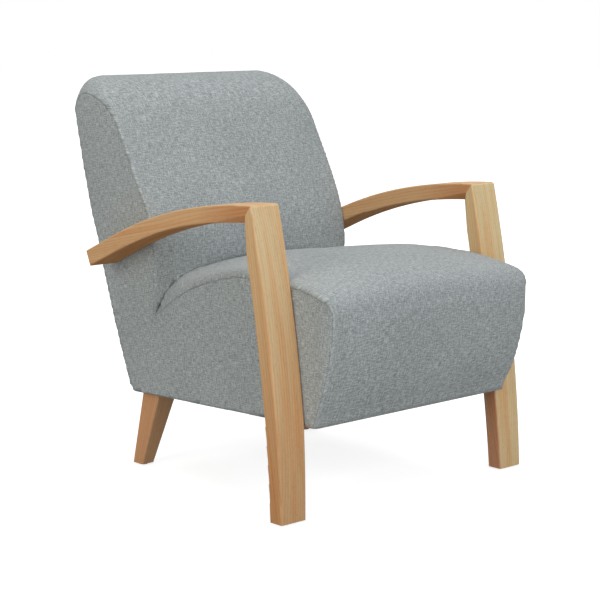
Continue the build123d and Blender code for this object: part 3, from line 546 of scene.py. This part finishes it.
def spun_sheet(tint, name, grain=900.0):
    """Pressed or spun fibres: a short random pile with slight colour change."""
    made = Finish.named(name)
    room = made.room()
    fibre = made.cloud(room, grain, 3, 0.7)
    patch = made.cloud(room, 25.0, 2)
    shade = made.shades(made.mix(0.3, fibre, patch), shaded(tint, 0.6), shaded(tint, 1.5))
    rough = made.vary(patch, 0.95, 0.85)
    return made.close(shade, rough, fibre, depth=0.0002, strength=0.6)


def strap_weave(fittings, name):
    """Elastic webbing: ribs along the strap and fine cross yarns, with painted shade between the
    ribs.
    """
    made = Finish.named(name)
    axes = made.axes(made.room())
    ribs = made.wave(axes[0], fittings.rib)
    picks = made.wave(axes[1], fittings.pick)
    height = made.sums("ADD", ribs, made.sums("MULTIPLY", picks, 0.4))
    tint = fittings.webbing
    # Painted shade: the colour follows the relief, dark in the hollows between the ribs and paler
    # on their crests.
    shade = made.ramp(made.spread(height, -1.4, 1.4), (0.2, tint), (0.9, shaded(tint, 2.2)))
    rough = made.spread(picks, -1, 1, 0.9, 0.75)
    return made.close(shade, rough, height, depth=0.0004, strength=0.6)


def plated_steel(tint, name):
    """Zinc-plated steel: fine brushed streaks and dull patches."""
    made = Finish.named(name)
    room = made.room()
    streak = made.cloud(made.place(room, (1600, 240, 240)), detail=2)
    dull = made.cloud(room, 160.0, 3)
    shade = made.shades(dull, shaded(tint, 0.75), tint)
    rough = made.vary(streak, 0.28, 0.5)
    return made.close(shade, rough, streak, depth=0.00005, strength=0.3, Metallic=1.0)


def moulded_plastic(tint, name):
    """Moulded plastic with a fine spark-eroded grain and scuffs."""
    made = Finish.named(name)
    room = made.room()
    grain = made.cloud(room, 2600.0, 2)
    scuff = made.cloud(made.place(room, (60, 60, 400)), detail=3)
    shade = made.ramp(scuff, (0.45, tint), (0.8, shaded(tint, 1.9)))
    rough = made.vary(scuff, 0.42, 0.62)
    return made.close(shade, rough, grain, depth=0.00006, strength=0.4)


def timber_of(timber, name):
    """The timber of one kind of board."""
    return figured_timber(timber, name, **BOARDS[name])


def dress(material, *nodes):
    """Gives CAD nodes a finish."""
    for node in nodes:
        slots = NODES[node].data.materials
        slots.clear()
        slots.append(material)


def new_piece(name, bm, material):
    """An object at the origin from a bmesh, with smooth shading and one finish."""
    mesh = bpy.data.meshes.new(name)
    bm.to_mesh(mesh)
    bm.free()
    mesh.shade_smooth()
    mesh.materials.append(material)
    piece = bpy.data.objects.new(name, mesh)
    bpy.context.scene.collection.objects.link(piece)
    return piece


def thicken(piece, thickness):
    """Gives a sheet its thickness, inwards from its outer face."""
    wall = piece.modifiers.new("Cloth", "SOLIDIFY")
    wall.thickness = thickness
    wall.offset = -1


def settled(piece):
    """A copy of a piece's mesh with its modifiers applied."""
    depsgraph = bpy.context.evaluated_depsgraph_get()
    return bpy.data.meshes.new_from_object(piece.evaluated_get(depsgraph))


def tree_of(node):
    """A search tree on a CAD node's surface."""
    bm = bmesh.new()
    bm.from_mesh(NODES[node].data)
    tree = BVHTree.FromBMesh(bm)
    bm.free()
    return tree


def held_in(share):
    """A share held between 0 and 1."""
    return max(0.0, min(1.0, share))


def ease(share):
    """A smooth step from 0 to 1."""
    share = held_in(share)
    return share * share * (3 - 2 * share)


def between(value, limits):
    """A smooth step from 0 at the first limit to 1 at the second."""
    start, end = limits
    return ease((value - start) / (end - start))


def sole_height(y):
    """Height of the chair's underside, which falls towards the back."""
    share = (y - SOLE_LOW.y) / (SOLE_HIGH.y - SOLE_LOW.y)
    return SOLE_HIGH.z + (SOLE_LOW.z - SOLE_HIGH.z) * share


def back_middle(height):
    """Depth of the plane that parts the front of the back from its rear."""
    return BACK_FOOT_Y + BACK_LEAN * (height - BACK_FOOT_HEIGHT)


def corner_fall(x):
    """How far the rounded top corners of the back fall away at this width."""
    share = held_in((SIDE_FACE - abs(x)) / TOP_CORNER)
    return TOP_CORNER * (1 - math.sqrt(1 - (1 - share) ** 2))


def rolled(x, radius=EDGE_ROLL):
    """Width measured over the rounded edge of a cushion."""
    flat = SIDE_FACE - radius
    over = min(1.0, max(0.0, abs(x) - flat) / radius)
    return math.copysign(min(abs(x), flat) + radius * math.asin(over), x)


def over_nose(point):
    """Distance measured up the front of the seat, over its nose and back along its top."""
    turn = 1 - 2 * ease(1 + point.y / NOSE_REACH)
    return point.y + SEAT_TOP + (point.z - SEAT_TOP) * turn


def over_top(point):
    """Distance measured up the front of the back, over its rolled top and down its rear."""
    centre = CHAIR_TOP - TOP_ROLL
    rise, lean = point.z - centre, point.y - back_middle(point.z)
    if rise > 0:
        return centre + TOP_ROLL * (math.atan2(lean, rise) + math.pi / 2)
    return point.z if lean < 0 else centre + TOP_ROLL * math.pi - rise


# Covers: number, name, tightness, the nodes they stand for and how the weave lies on them
COVERS = (
    (SEAT, "seat_cushion", 0.8, ("seat_cover", "seat_foam"),
     lambda point: (rolled(point.x), over_nose(point))),
    (BACK, "back_cushion", 0.8, ("inside_back_cover", "back_foam"),
     lambda point: (rolled(point.x), over_top(point))),
    (REAR, "rear_panel", 0.9, ("outside_back_cover",),
     lambda point: (rolled(point.x, REAR_EDGE_ROLL), REAR_LENGTH * point.z)),
    (LEFT, "side_panel_left", 0.9, ("side_cover_left", "side_pad_left"),
     lambda point: (point.y, point.z)),
    (RIGHT, "side_panel_right", 0.9, ("side_cover_right", "side_pad_right"),
     lambda point: (-point.y, point.z)),
)


def clear_of_frames(point):
    """1 where the sides stand clear of the side frames, above the armrests and before the legs."""
    above = 0.0
    if point.y > BACK_SIDE_Y:
        above = between(point.z + ARM_DROOP * point.y, ABOVE_ARM_HEIGHT)
    return max(above, between(point.y, BEFORE_LEG_Y))


def soft_skin(voxel):
    """One closed skin round the cushions' CAD solids, with the hollow under the seat shut."""
    bm = bmesh.new()
    for node in SOFT_NODES:
        bm.from_mesh(NODES[node].data)
    bmesh.ops.remove_doubles(bm, verts=bm.verts, dist=WELD)
    deck = bmesh.ops.create_cube(bm, size=1.0)["verts"]
    bmesh.ops.scale(bm, vec=DECK_SIZE, verts=deck)
    bmesh.ops.translate(bm, vec=DECK_PLACE, verts=deck)
    for corner in deck:
        if corner.co.z < DECK_PLACE[2]:
            corner.co.z = sole_height(corner.co.y) + DECK_GAP
    skin = new_piece("skin", bm, None)
    remesh = skin.modifiers.new("Even mesh", "REMESH")
    remesh.mode = "VOXEL"
    remesh.voxel_size = voxel
    mesh = settled(skin)
    bpy.data.objects.remove(skin)
    return mesh


def pushed_out(piece, cloth, pinned):
    """The piece's mesh after a cloth simulation with pressure inside."""
    group = piece.vertex_groups.new(name="sewn")
    for index, held in enumerate(pinned):
        if held > 0:
            group.add([index], held, "REPLACE")
    filling = piece.modifiers.new("Filling", "CLOTH")
    for name, value in CLOTH_SETTINGS.items():
        setattr(filling.settings, name, value)
    filling.settings.uniform_pressure_force = cloth.pressure
    filling.settings.effector_weights.gravity = 0
    filling.settings.vertex_group_mass = group.name
    filling.point_cache.frame_end = cloth.steps
    for step in range(1, cloth.steps + 1):
        bpy.context.scene.frame_set(step)
    return settled(piece)


def stuffed(mesh, cloth, pinned):
    """Where the filling brings the skin's points between its pinned seams."""
    mesh.shade_smooth()
    piece = bpy.data.objects.new("stuffing", mesh)
    bpy.context.scene.collection.objects.link(piece)
    full = [vertex.co.copy() for vertex in mesh.vertices]
    outward = [vertex.normal.copy() for vertex in mesh.vertices]
    for vertex, place, way, held in zip(mesh.vertices, full, outward, pinned):
        vertex.co = place - way * cloth.slack * (1 - held)
    moved = pushed_out(piece, cloth, pinned)
    for index, vertex in enumerate(moved.vertices):
        push = vertex.co - full[index]
        rise = push.dot(outward[index])
        slip = push - outward[index] * rise
        rise = max(-cloth.sink, min(cloth.swell, rise))
        if slip.length > cloth.swell:
            slip = slip * (cloth.swell / slip.length)
        full[index] = full[index] + outward[index] * rise + slip
    bpy.data.meshes.remove(moved)
    bpy.data.objects.remove(piece)
    return full


class ARMCHAIR_OT_covers(Operator):
    """Stuff one skin over the cushions and cut it into seat, back, rear and side covers"""

    bl_idname = "armchair.covers"
    bl_label = "Covers"

    def execute(self, context):
        """Builds the five covers."""
        cloth = context.scene.armchair_cloth
        self.seat_tree, self.back_tree = tree_of("seat_cover"), tree_of("inside_back_cover")
        mesh = soft_skin(cloth.voxel)
        pinned = [self.pin(vertex.co) for vertex in mesh.vertices]
        shape = stuffed(mesh, cloth, pinned)
        bm = bmesh.new()
        bm.from_mesh(mesh)
        bpy.data.meshes.remove(mesh)
        for vertex, place in zip(list(bm.verts), shape):
            vertex.co = place
        bm.normal_update()
        self.cut(bm, cloth, pinned)
        fabric = woven_cloth(cloth, "grey_melange_cloth")
        for cover in COVERS:
            self.sew(bm, cloth, fabric, *cover)
        bm.free()
        return {"FINISHED"}

    def gaps(self, point):
        """Distances from the seat's cover and from the back's."""
        return self.seat_tree.find_nearest(point)[3], self.back_tree.find_nearest(point)[3]

    def fold_share(self, gaps):
        """1 in the fold between seat and back, 0 outside it."""
        return max(0.0, 1 - max(gaps) / FOLD_WIDTH)

    def pin(self, point):
        """How firmly the skin is held at a point while the filling pushes it out."""
        side = (abs(point.x) - (SIDE_FACE - SIDE_PIN)) / SIDE_PIN_FADE
        sole = (sole_height(point.y) + SOLE_PIN - point.z) / SOLE_PIN_FADE
        seam = 0
        if point.y > back_middle(point.z):
            seam = SEAM_HOLD - abs(point.z + corner_fall(point.x) - TOP_SEAM) / SEAM_PIN_FADE
        fold = FOLD_HOLD * self.fold_share(self.gaps(point))
        return held_in(max(side, sole, seam, fold))

    def cut(self, bm, cloth, pinned):
        """Cuts the skin at its seams, numbers its faces by cover and gives it its final shape."""
        wall = max(abs(vertex.co.x) for vertex in bm.verts)
        plain = bm.verts.layers.float_vector.new("plain")
        final = bm.verts.layers.float_vector.new("final")
        lean = bm.verts.layers.float.new("lean")
        near_fold = {}
        for vertex, held in zip(bm.verts, pinned):
            seat_gap, back_gap = self.gaps(vertex.co)
            vertex[plain] = vertex.co
            vertex[final] = self.filled(vertex, held, seat_gap, back_gap, cloth)
            vertex[lean] = seat_gap - back_gap
            if max(seat_gap, back_gap) < FOLD_REACH:
                near_fold.update(dict.fromkeys(vertex.link_faces))
        self.cut_fold(bm, near_fold, lean, plain)
        for share in SEAM_CUTS:
            for side in (-1, 1):
                inset = share * cloth.seam_inset
                self.slice(bm, (side * (wall - inset), 0, 0), (1, 0, 0))
        for vertex in bm.verts:
            vertex.co.z += corner_fall(vertex.co.x)
        self.slice(bm, (0, 0, TOP_SEAM), (0, 0, 1))
        for vertex in bm.verts:
            vertex.co.z -= corner_fall(vertex.co.x)
        bmesh.ops.dissolve_degenerate(bm, dist=SLIVER, edges=bm.edges)
        bm.normal_update()
        part = bm.faces.layers.int.new("part")
        for face in bm.faces:
            face[part] = self.part_of(face, wall - cloth.seam_inset, lean)
        for vertex in bm.verts:
            vertex.co = vertex[final]
        bm.normal_update()
        seams = [v for v in bm.verts if len({face[part] for face in v.link_faces}) > 1]
        for vertex in seams:
            vertex.co = vertex.co - vertex.normal * cloth.seam_depth

    def slice(self, bm, place, way):
        """Cuts the whole skin along a plane."""
        everything = bm.verts[:] + bm.edges[:] + bm.faces[:]
        bmesh.ops.bisect_plane(bm, geom=everything, plane_co=place, plane_no=way)

    def cut_fold(self, bm, faces, lean, plain):
        """Cuts the skin along the line where seat and back are equally near.

        Dictionaries keep the faces, edges and corners in the same order each run."""
        for vertex in bm.verts:
            vertex.co.z = vertex[lean]
        edges = dict.fromkeys(edge for face in faces for edge in face.edges)
        corners = dict.fromkeys(vertex for face in faces for vertex in face.verts)
        bmesh.ops.bisect_plane(
            bm, geom=[*corners, *edges, *faces], dist=FOLD_CUT,
            plane_co=(0, 0, 0), plane_no=(0, 0, 1),
        )
        for vertex in bm.verts:
            vertex.co = vertex[plain]

    def part_of(self, face, seam, lean):
        """The number of the cover that a face of the skin belongs to."""
        middle = face.calc_center_median()
        if abs(middle.x) > seam:
            return LEFT if middle.x < 0 else RIGHT
        if face.normal.z < DOWNWARD and middle.z < sole_height(middle.y) + UNDERSIDE_REACH:
            return SEAT
        below_seam = middle.z + corner_fall(middle.x) < TOP_SEAM
        if below_seam and middle.y > back_middle(middle.z):
            return REAR
        return SEAT if sum(vertex[lean] for vertex in face.verts) < 0 else BACK

    def filled(self, vertex, held, seat_gap, back_gap, cloth):
        """Where the filling, the seams and the fold bring a point of the skin."""
        point, way = vertex.co, vertex.normal
        waves = noise.noise(point * BROAD_WAVES) + 0.5 * noise.noise(point * FINE_WAVES)
        rise = cloth.unevenness * waves * (1 - held)
        rise -= cloth.fold_depth * self.fold_share((seat_gap, back_gap))
        rise += self.edge_fill(point, way, back_gap < seat_gap, cloth)
        place = point + way * rise
        share = min(1.0, abs(place.x) / SIDE_FACE)
        on_seat = between(seat_gap, ON_SEAT_GAP) * between(point.z, ON_SEAT_HEIGHT)
        lift = cloth.crown * (1 - share ** 2) - cloth.side_fall * share ** 4
        lift -= cloth.rear_fall * between(place.y, SEAT_REAR_Y) * share ** 1.5
        lift *= on_seat
        place.z += lift
        place.y += BACK_LEAN * lift * between(back_gap, AT_BACK_GAP)
        sole = sole_height(point.y)
        if point.z < sole + HEM_DEPTH:
            place.z = sole - cloth.hem * between(point.y, FRONT_HEM_Y)
        place.x += math.copysign(cloth.spread * share ** 3 * clear_of_frames(place), place.x)
        return place

    def edge_fill(self, point, way, on_back, cloth):
        """How far the rounded edges and the lower rear are stuffed out at a point."""
        fill = 0.0
        if way.y < NOT_REARWARD and way.z > NOT_DOWNWARD:
            across = math.hypot(way.y, way.z)
            bend = (2 * abs(way.x) * across) ** 2
            if on_back:
                fill = cloth.back_edge * bend * between(way.y, BACK_EDGE_WAY)
            elif across > 0:
                extra = cloth.corner_fill * between(point.y, FRONT_CORNER_Y)
                fill = (cloth.seat_edge + extra) * bend * ease(way.z / across)
        if way.y > REARWARD:
            share = between(point.z, REAR_FILL_HEIGHT) * between(abs(way.x), REAR_FILL_WAY)
            fill += cloth.rear_fill * share
        return fill

    def sew(self, bm, cloth, fabric, number, name, fill, nodes, lay):
        """Makes one cover from its faces of the skin."""
        panel = bm.copy()
        part = panel.faces.layers.int["part"]
        spare = [face for face in panel.faces if face[part] != number]
        bmesh.ops.delete(panel, geom=spare, context="FACES")
        weave = panel.loops.layers.uv.new("weave")
        for face in panel.faces:
            for corner in face.loops:
                corner[weave].uv = lay(corner.vert.co)
        piece = new_piece(name, panel, fabric)
        thicken(piece, cloth.thickness)
        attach(piece, "root")
        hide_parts(*nodes)


class ARMCHAIR_OT_dust_sheet(Operator):
    """Stretch the dust sheet under the seat"""

    bl_idname = "armchair.dust_sheet"
    bl_label = "Dust sheet"

    def execute(self, context):
        """Builds the sheet with its slight sag."""
        cloth = context.scene.armchair_cloth
        bm = bmesh.new()
        bmesh.ops.create_grid(bm, x_segments=SHEET_CELLS, y_segments=SHEET_CELLS, size=0.5)
        span = SOLE_HIGH - SOLE_LOW
        width, depth = span.x - SHEET_EDGE, span.y - SHEET_EDGE
        bmesh.ops.scale(bm, vec=(width, depth, 1), verts=bm.verts)
        middle = (SOLE_LOW + SOLE_HIGH) / 2
        bmesh.ops.translate(bm, vec=(middle.x, middle.y, 0), verts=bm.verts)
        for vertex in bm.verts:
            across = math.cos(math.pi * (vertex.co.x - middle.x) / width)
            along = math.cos(math.pi * (vertex.co.y - middle.y) / depth)
            vertex.co.z = sole_height(vertex.co.y) - SHEET_DROP - cloth.sag * across * along
        bmesh.ops.reverse_faces(bm, faces=bm.faces)
        sheet = new_piece("dust_sheet", bm, spun_sheet(cloth.lining, "spun_dust_sheet"))
        thicken(sheet, SHEET_THICKNESS)
        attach(sheet, "root")
        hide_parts("dust_cover")
        return {"FINISHED"}


class ARMCHAIR_OT_side_frames(Operator):
    """Finish the front legs and armrests in straight-grained timber"""

    bl_idname = "armchair.side_frames"
    bl_label = "Side frames"

    def execute(self, context):
        """Gives the side frames their timber."""
        timber = context.scene.armchair_timber
        dress(timber_of(timber, "left_leg_timber"), "front_leg_left")
        dress(timber_of(timber, "right_leg_timber"), "front_leg_right")
        dress(timber_of(timber, "armrest_timber"), "armrest_left", "armrest_right")
        dress(timber_of(timber, "dowel_timber"), "mitre_dowels")
        return {"FINISHED"}


class ARMCHAIR_OT_rear_legs(Operator):
    """Finish the raked rear legs in timber"""

    bl_idname = "armchair.rear_legs"
    bl_label = "Rear legs"

    def execute(self, context):
        """Gives the rear legs their timber."""
        timber = context.scene.armchair_timber
        dress(timber_of(timber, "rear_leg_timber"), "rear_leg_left", "rear_leg_right")
        return {"FINISHED"}


class ARMCHAIR_OT_inner_frame(Operator):
    """Finish the gables, rails and blocks under the upholstery"""

    bl_idname = "armchair.inner_frame"
    bl_label = "Inner frame"

    def execute(self, context):
        """Gives the hidden frame its timber and plywood."""
        timber = context.scene.armchair_timber
        dress(
            timber_of(timber, "softwood_rails"), "seat_front_rail", "seat_rear_rail",
            "base_rear_rail", "lumbar_rail", "back_top_rail", "corner_blocks",
            "leg_block_left", "leg_block_right",
        )
        ply = layered_ply(timber, "birch_plywood")
        dress(ply, "side_gable_left", "side_gable_right")
        return {"FINISHED"}


class ARMCHAIR_OT_springing(Operator):
    """Finish the webbing and the felt over it"""

    bl_idname = "armchair.springing"
    bl_label = "Webbing and felt"

    def execute(self, context):
        """Gives the webbing and felt their finishes."""
        fittings = context.scene.armchair_fittings
        straps = strap_weave(fittings, "elastic_webbing")
        dress(straps, "seat_webbing_long", "seat_webbing_cross", "back_webbing")
        dress(spun_sheet(fittings.felt, "needled_felt", grain=500.0), "seat_felt")
        return {"FINISHED"}


class ARMCHAIR_OT_fittings(Operator):
    """Finish the glides, bolts, screws and nuts"""

    bl_idname = "armchair.fittings"
    bl_label = "Glides and fasteners"

    def execute(self, context):
        """Gives the small parts their finishes."""
        fittings = context.scene.armchair_fittings
        dress(moulded_plastic(fittings.glide, "glide_plastic"), "leg_glides")
        dress(
            plated_steel(fittings.steel, "zinc_plated_steel"), "arm_bolts", "arm_bolt_washers",
            "arm_inserts", "leg_studs", "leg_tee_nuts", "frame_screws",
        )
        return {"FINISHED"}


class ARMCHAIR_OT_stage(Operator):
    """Lay the floor, hang the lamps and set up the camera"""

    bl_idname = "armchair.stage"
    bl_label = "Stage"

    def execute(self, context):
        """Builds the plain studio."""
        stage = context.scene.armchair_stage
        self.lay_floor(stage)
        self.light_world(context.scene, stage)
        for name, power, place, target, size, tint in LAMPS:
            self.hang_lamp(name, getattr(stage, power), place, target, size, tint)
        camera = bpy.data.objects.new("camera", bpy.data.cameras.new("camera"))
        context.scene.collection.objects.link(camera)
        camera.location = CAMERA_PLACE
        camera.rotation_euler = (math.radians(90 - CAMERA_DIP), 0, math.radians(CAMERA_TURN))
        camera.data.lens = stage.lens
        camera.data.sensor_width = SENSOR_WIDTH
        context.scene.camera = camera
        context.scene.view_settings.view_transform = "Standard"
        return {"FINISHED"}

    def seen(self, made):
        """1 where the camera, a reflection or clear material looks, else 0."""
        path = made.add("LightPath").outputs
        seen = made.sums("MAXIMUM", path["Is Camera Ray"], path["Is Glossy Ray"])
        return made.sums("MAXIMUM", seen, path["Is Transmission Ray"])

    def lay_floor(self, stage):
        """A wide pale floor that looks white and keeps a soft shadow."""
        bm = bmesh.new()
        bmesh.ops.create_grid(bm, x_segments=2, y_segments=2, size=FLOOR_SIZE)
        made = Finish.named("studio_floor")
        reach = made.add("VectorMath", {0: made.room()}, operation="LENGTH").outputs["Value"]
        white = made.spread(reach, *SHADOW_REACH, 1 - stage.shadow, 1.0)
        lit = made.add("BsdfDiffuse", {"Color": SEEN_FLOOR}).outputs[0]
        glow = made.add("Emission", {"Color": WHITE, "Strength": white}).outputs[0]
        shown = made.add("AddShader", {0: glow, 1: lit}).outputs[0]
        bounce = made.add("BsdfDiffuse", {"Color": stage.floor}).outputs[0]
        both = made.add("MixShader", {0: self.seen(made), 1: bounce, 2: shown})
        made.add("OutputMaterial", {"Surface": both.outputs[0]})
        floor = new_piece("studio_floor", bm, made.owner)

    def light_world(self, scene, stage):
        """Even light all round, seen as white."""
        scene.world = bpy.data.worlds.new("studio")
        made = Finish(scene.world)
        white = made.add("Background", {"Color": WHITE, "Strength": 1.0}).outputs[0]
        even = made.add("Background", {"Color": WHITE, "Strength": stage.ambient}).outputs[0]
        both = made.add("MixShader", {0: self.seen(made), 1: even, 2: white})
        made.add("OutputWorld", {"Surface": both.outputs[0]})

    def hang_lamp(self, name, power, place, target, size, tint):
        """A square soft lamp that faces a point."""
        data = bpy.data.lights.new(name, "AREA")
        data.shape = "SQUARE"
        data.size = size
        data.energy = power
        data.color = tint
        lamp = bpy.data.objects.new(name, data)
        bpy.context.scene.collection.objects.link(lamp)
        lamp.location = place
        aim = Vector(target) - Vector(place)
        lamp.rotation_euler = aim.to_track_quat("-Z", "Y").to_euler()


class ARMCHAIR_PT_panel(Panel):
    """The pieces of the armchair, in the order in which they are made"""

    bl_label = "Armchair"
    bl_idname = "ARMCHAIR_PT_panel"
    bl_space_type = "VIEW_3D"
    bl_region_type = "UI"
    bl_category = "Armchair"

    def draw(self, context):
        """Lists the settings and the operators."""
        for group in SETTINGS:
            box = self.layout.box()
            values = getattr(context.scene, group)
            for name in values.bl_rna.properties.keys():
                if name not in ("name", "rna_type"):
                    box.prop(values, name)
        for operator in OPERATORS:
            self.layout.operator(operator.bl_idname)


SETTINGS = {
    "armchair_cloth": ArmchairCloth,
    "armchair_timber": ArmchairTimber,
    "armchair_fittings": ArmchairFittings,
    "armchair_stage": ArmchairStage,
}
OPERATORS = (
    ARMCHAIR_OT_covers,
    ARMCHAIR_OT_dust_sheet,
    ARMCHAIR_OT_side_frames,
    ARMCHAIR_OT_rear_legs,
    ARMCHAIR_OT_inner_frame,
    ARMCHAIR_OT_springing,
    ARMCHAIR_OT_fittings,
    ARMCHAIR_OT_stage,
)


def register():
    """Registers the settings, the operators and the panel."""
    for name, group in SETTINGS.items():
        bpy.utils.register_class(group)
        setattr(bpy.types.Scene, name, PointerProperty(type=group))
    for operator in OPERATORS:
        bpy.utils.register_class(operator)
    bpy.utils.register_class(ARMCHAIR_PT_panel)


def unregister():
    """Takes them all out again."""
    bpy.utils.unregister_class(ARMCHAIR_PT_panel)
    for operator in reversed(OPERATORS):
        bpy.utils.unregister_class(operator)
    for name, group in reversed(SETTINGS.items()):
        delattr(bpy.types.Scene, name)
        bpy.utils.unregister_class(group)


def main():
    """Makes every piece in order."""
    register()
    bpy.ops.armchair.covers()
    bpy.ops.armchair.dust_sheet()
    bpy.ops.armchair.side_frames()
    bpy.ops.armchair.rear_legs()
    bpy.ops.armchair.inner_frame()
    bpy.ops.armchair.springing()
    bpy.ops.armchair.fittings()
    bpy.ops.armchair.stage()


if __name__ == "__main__":
    main()
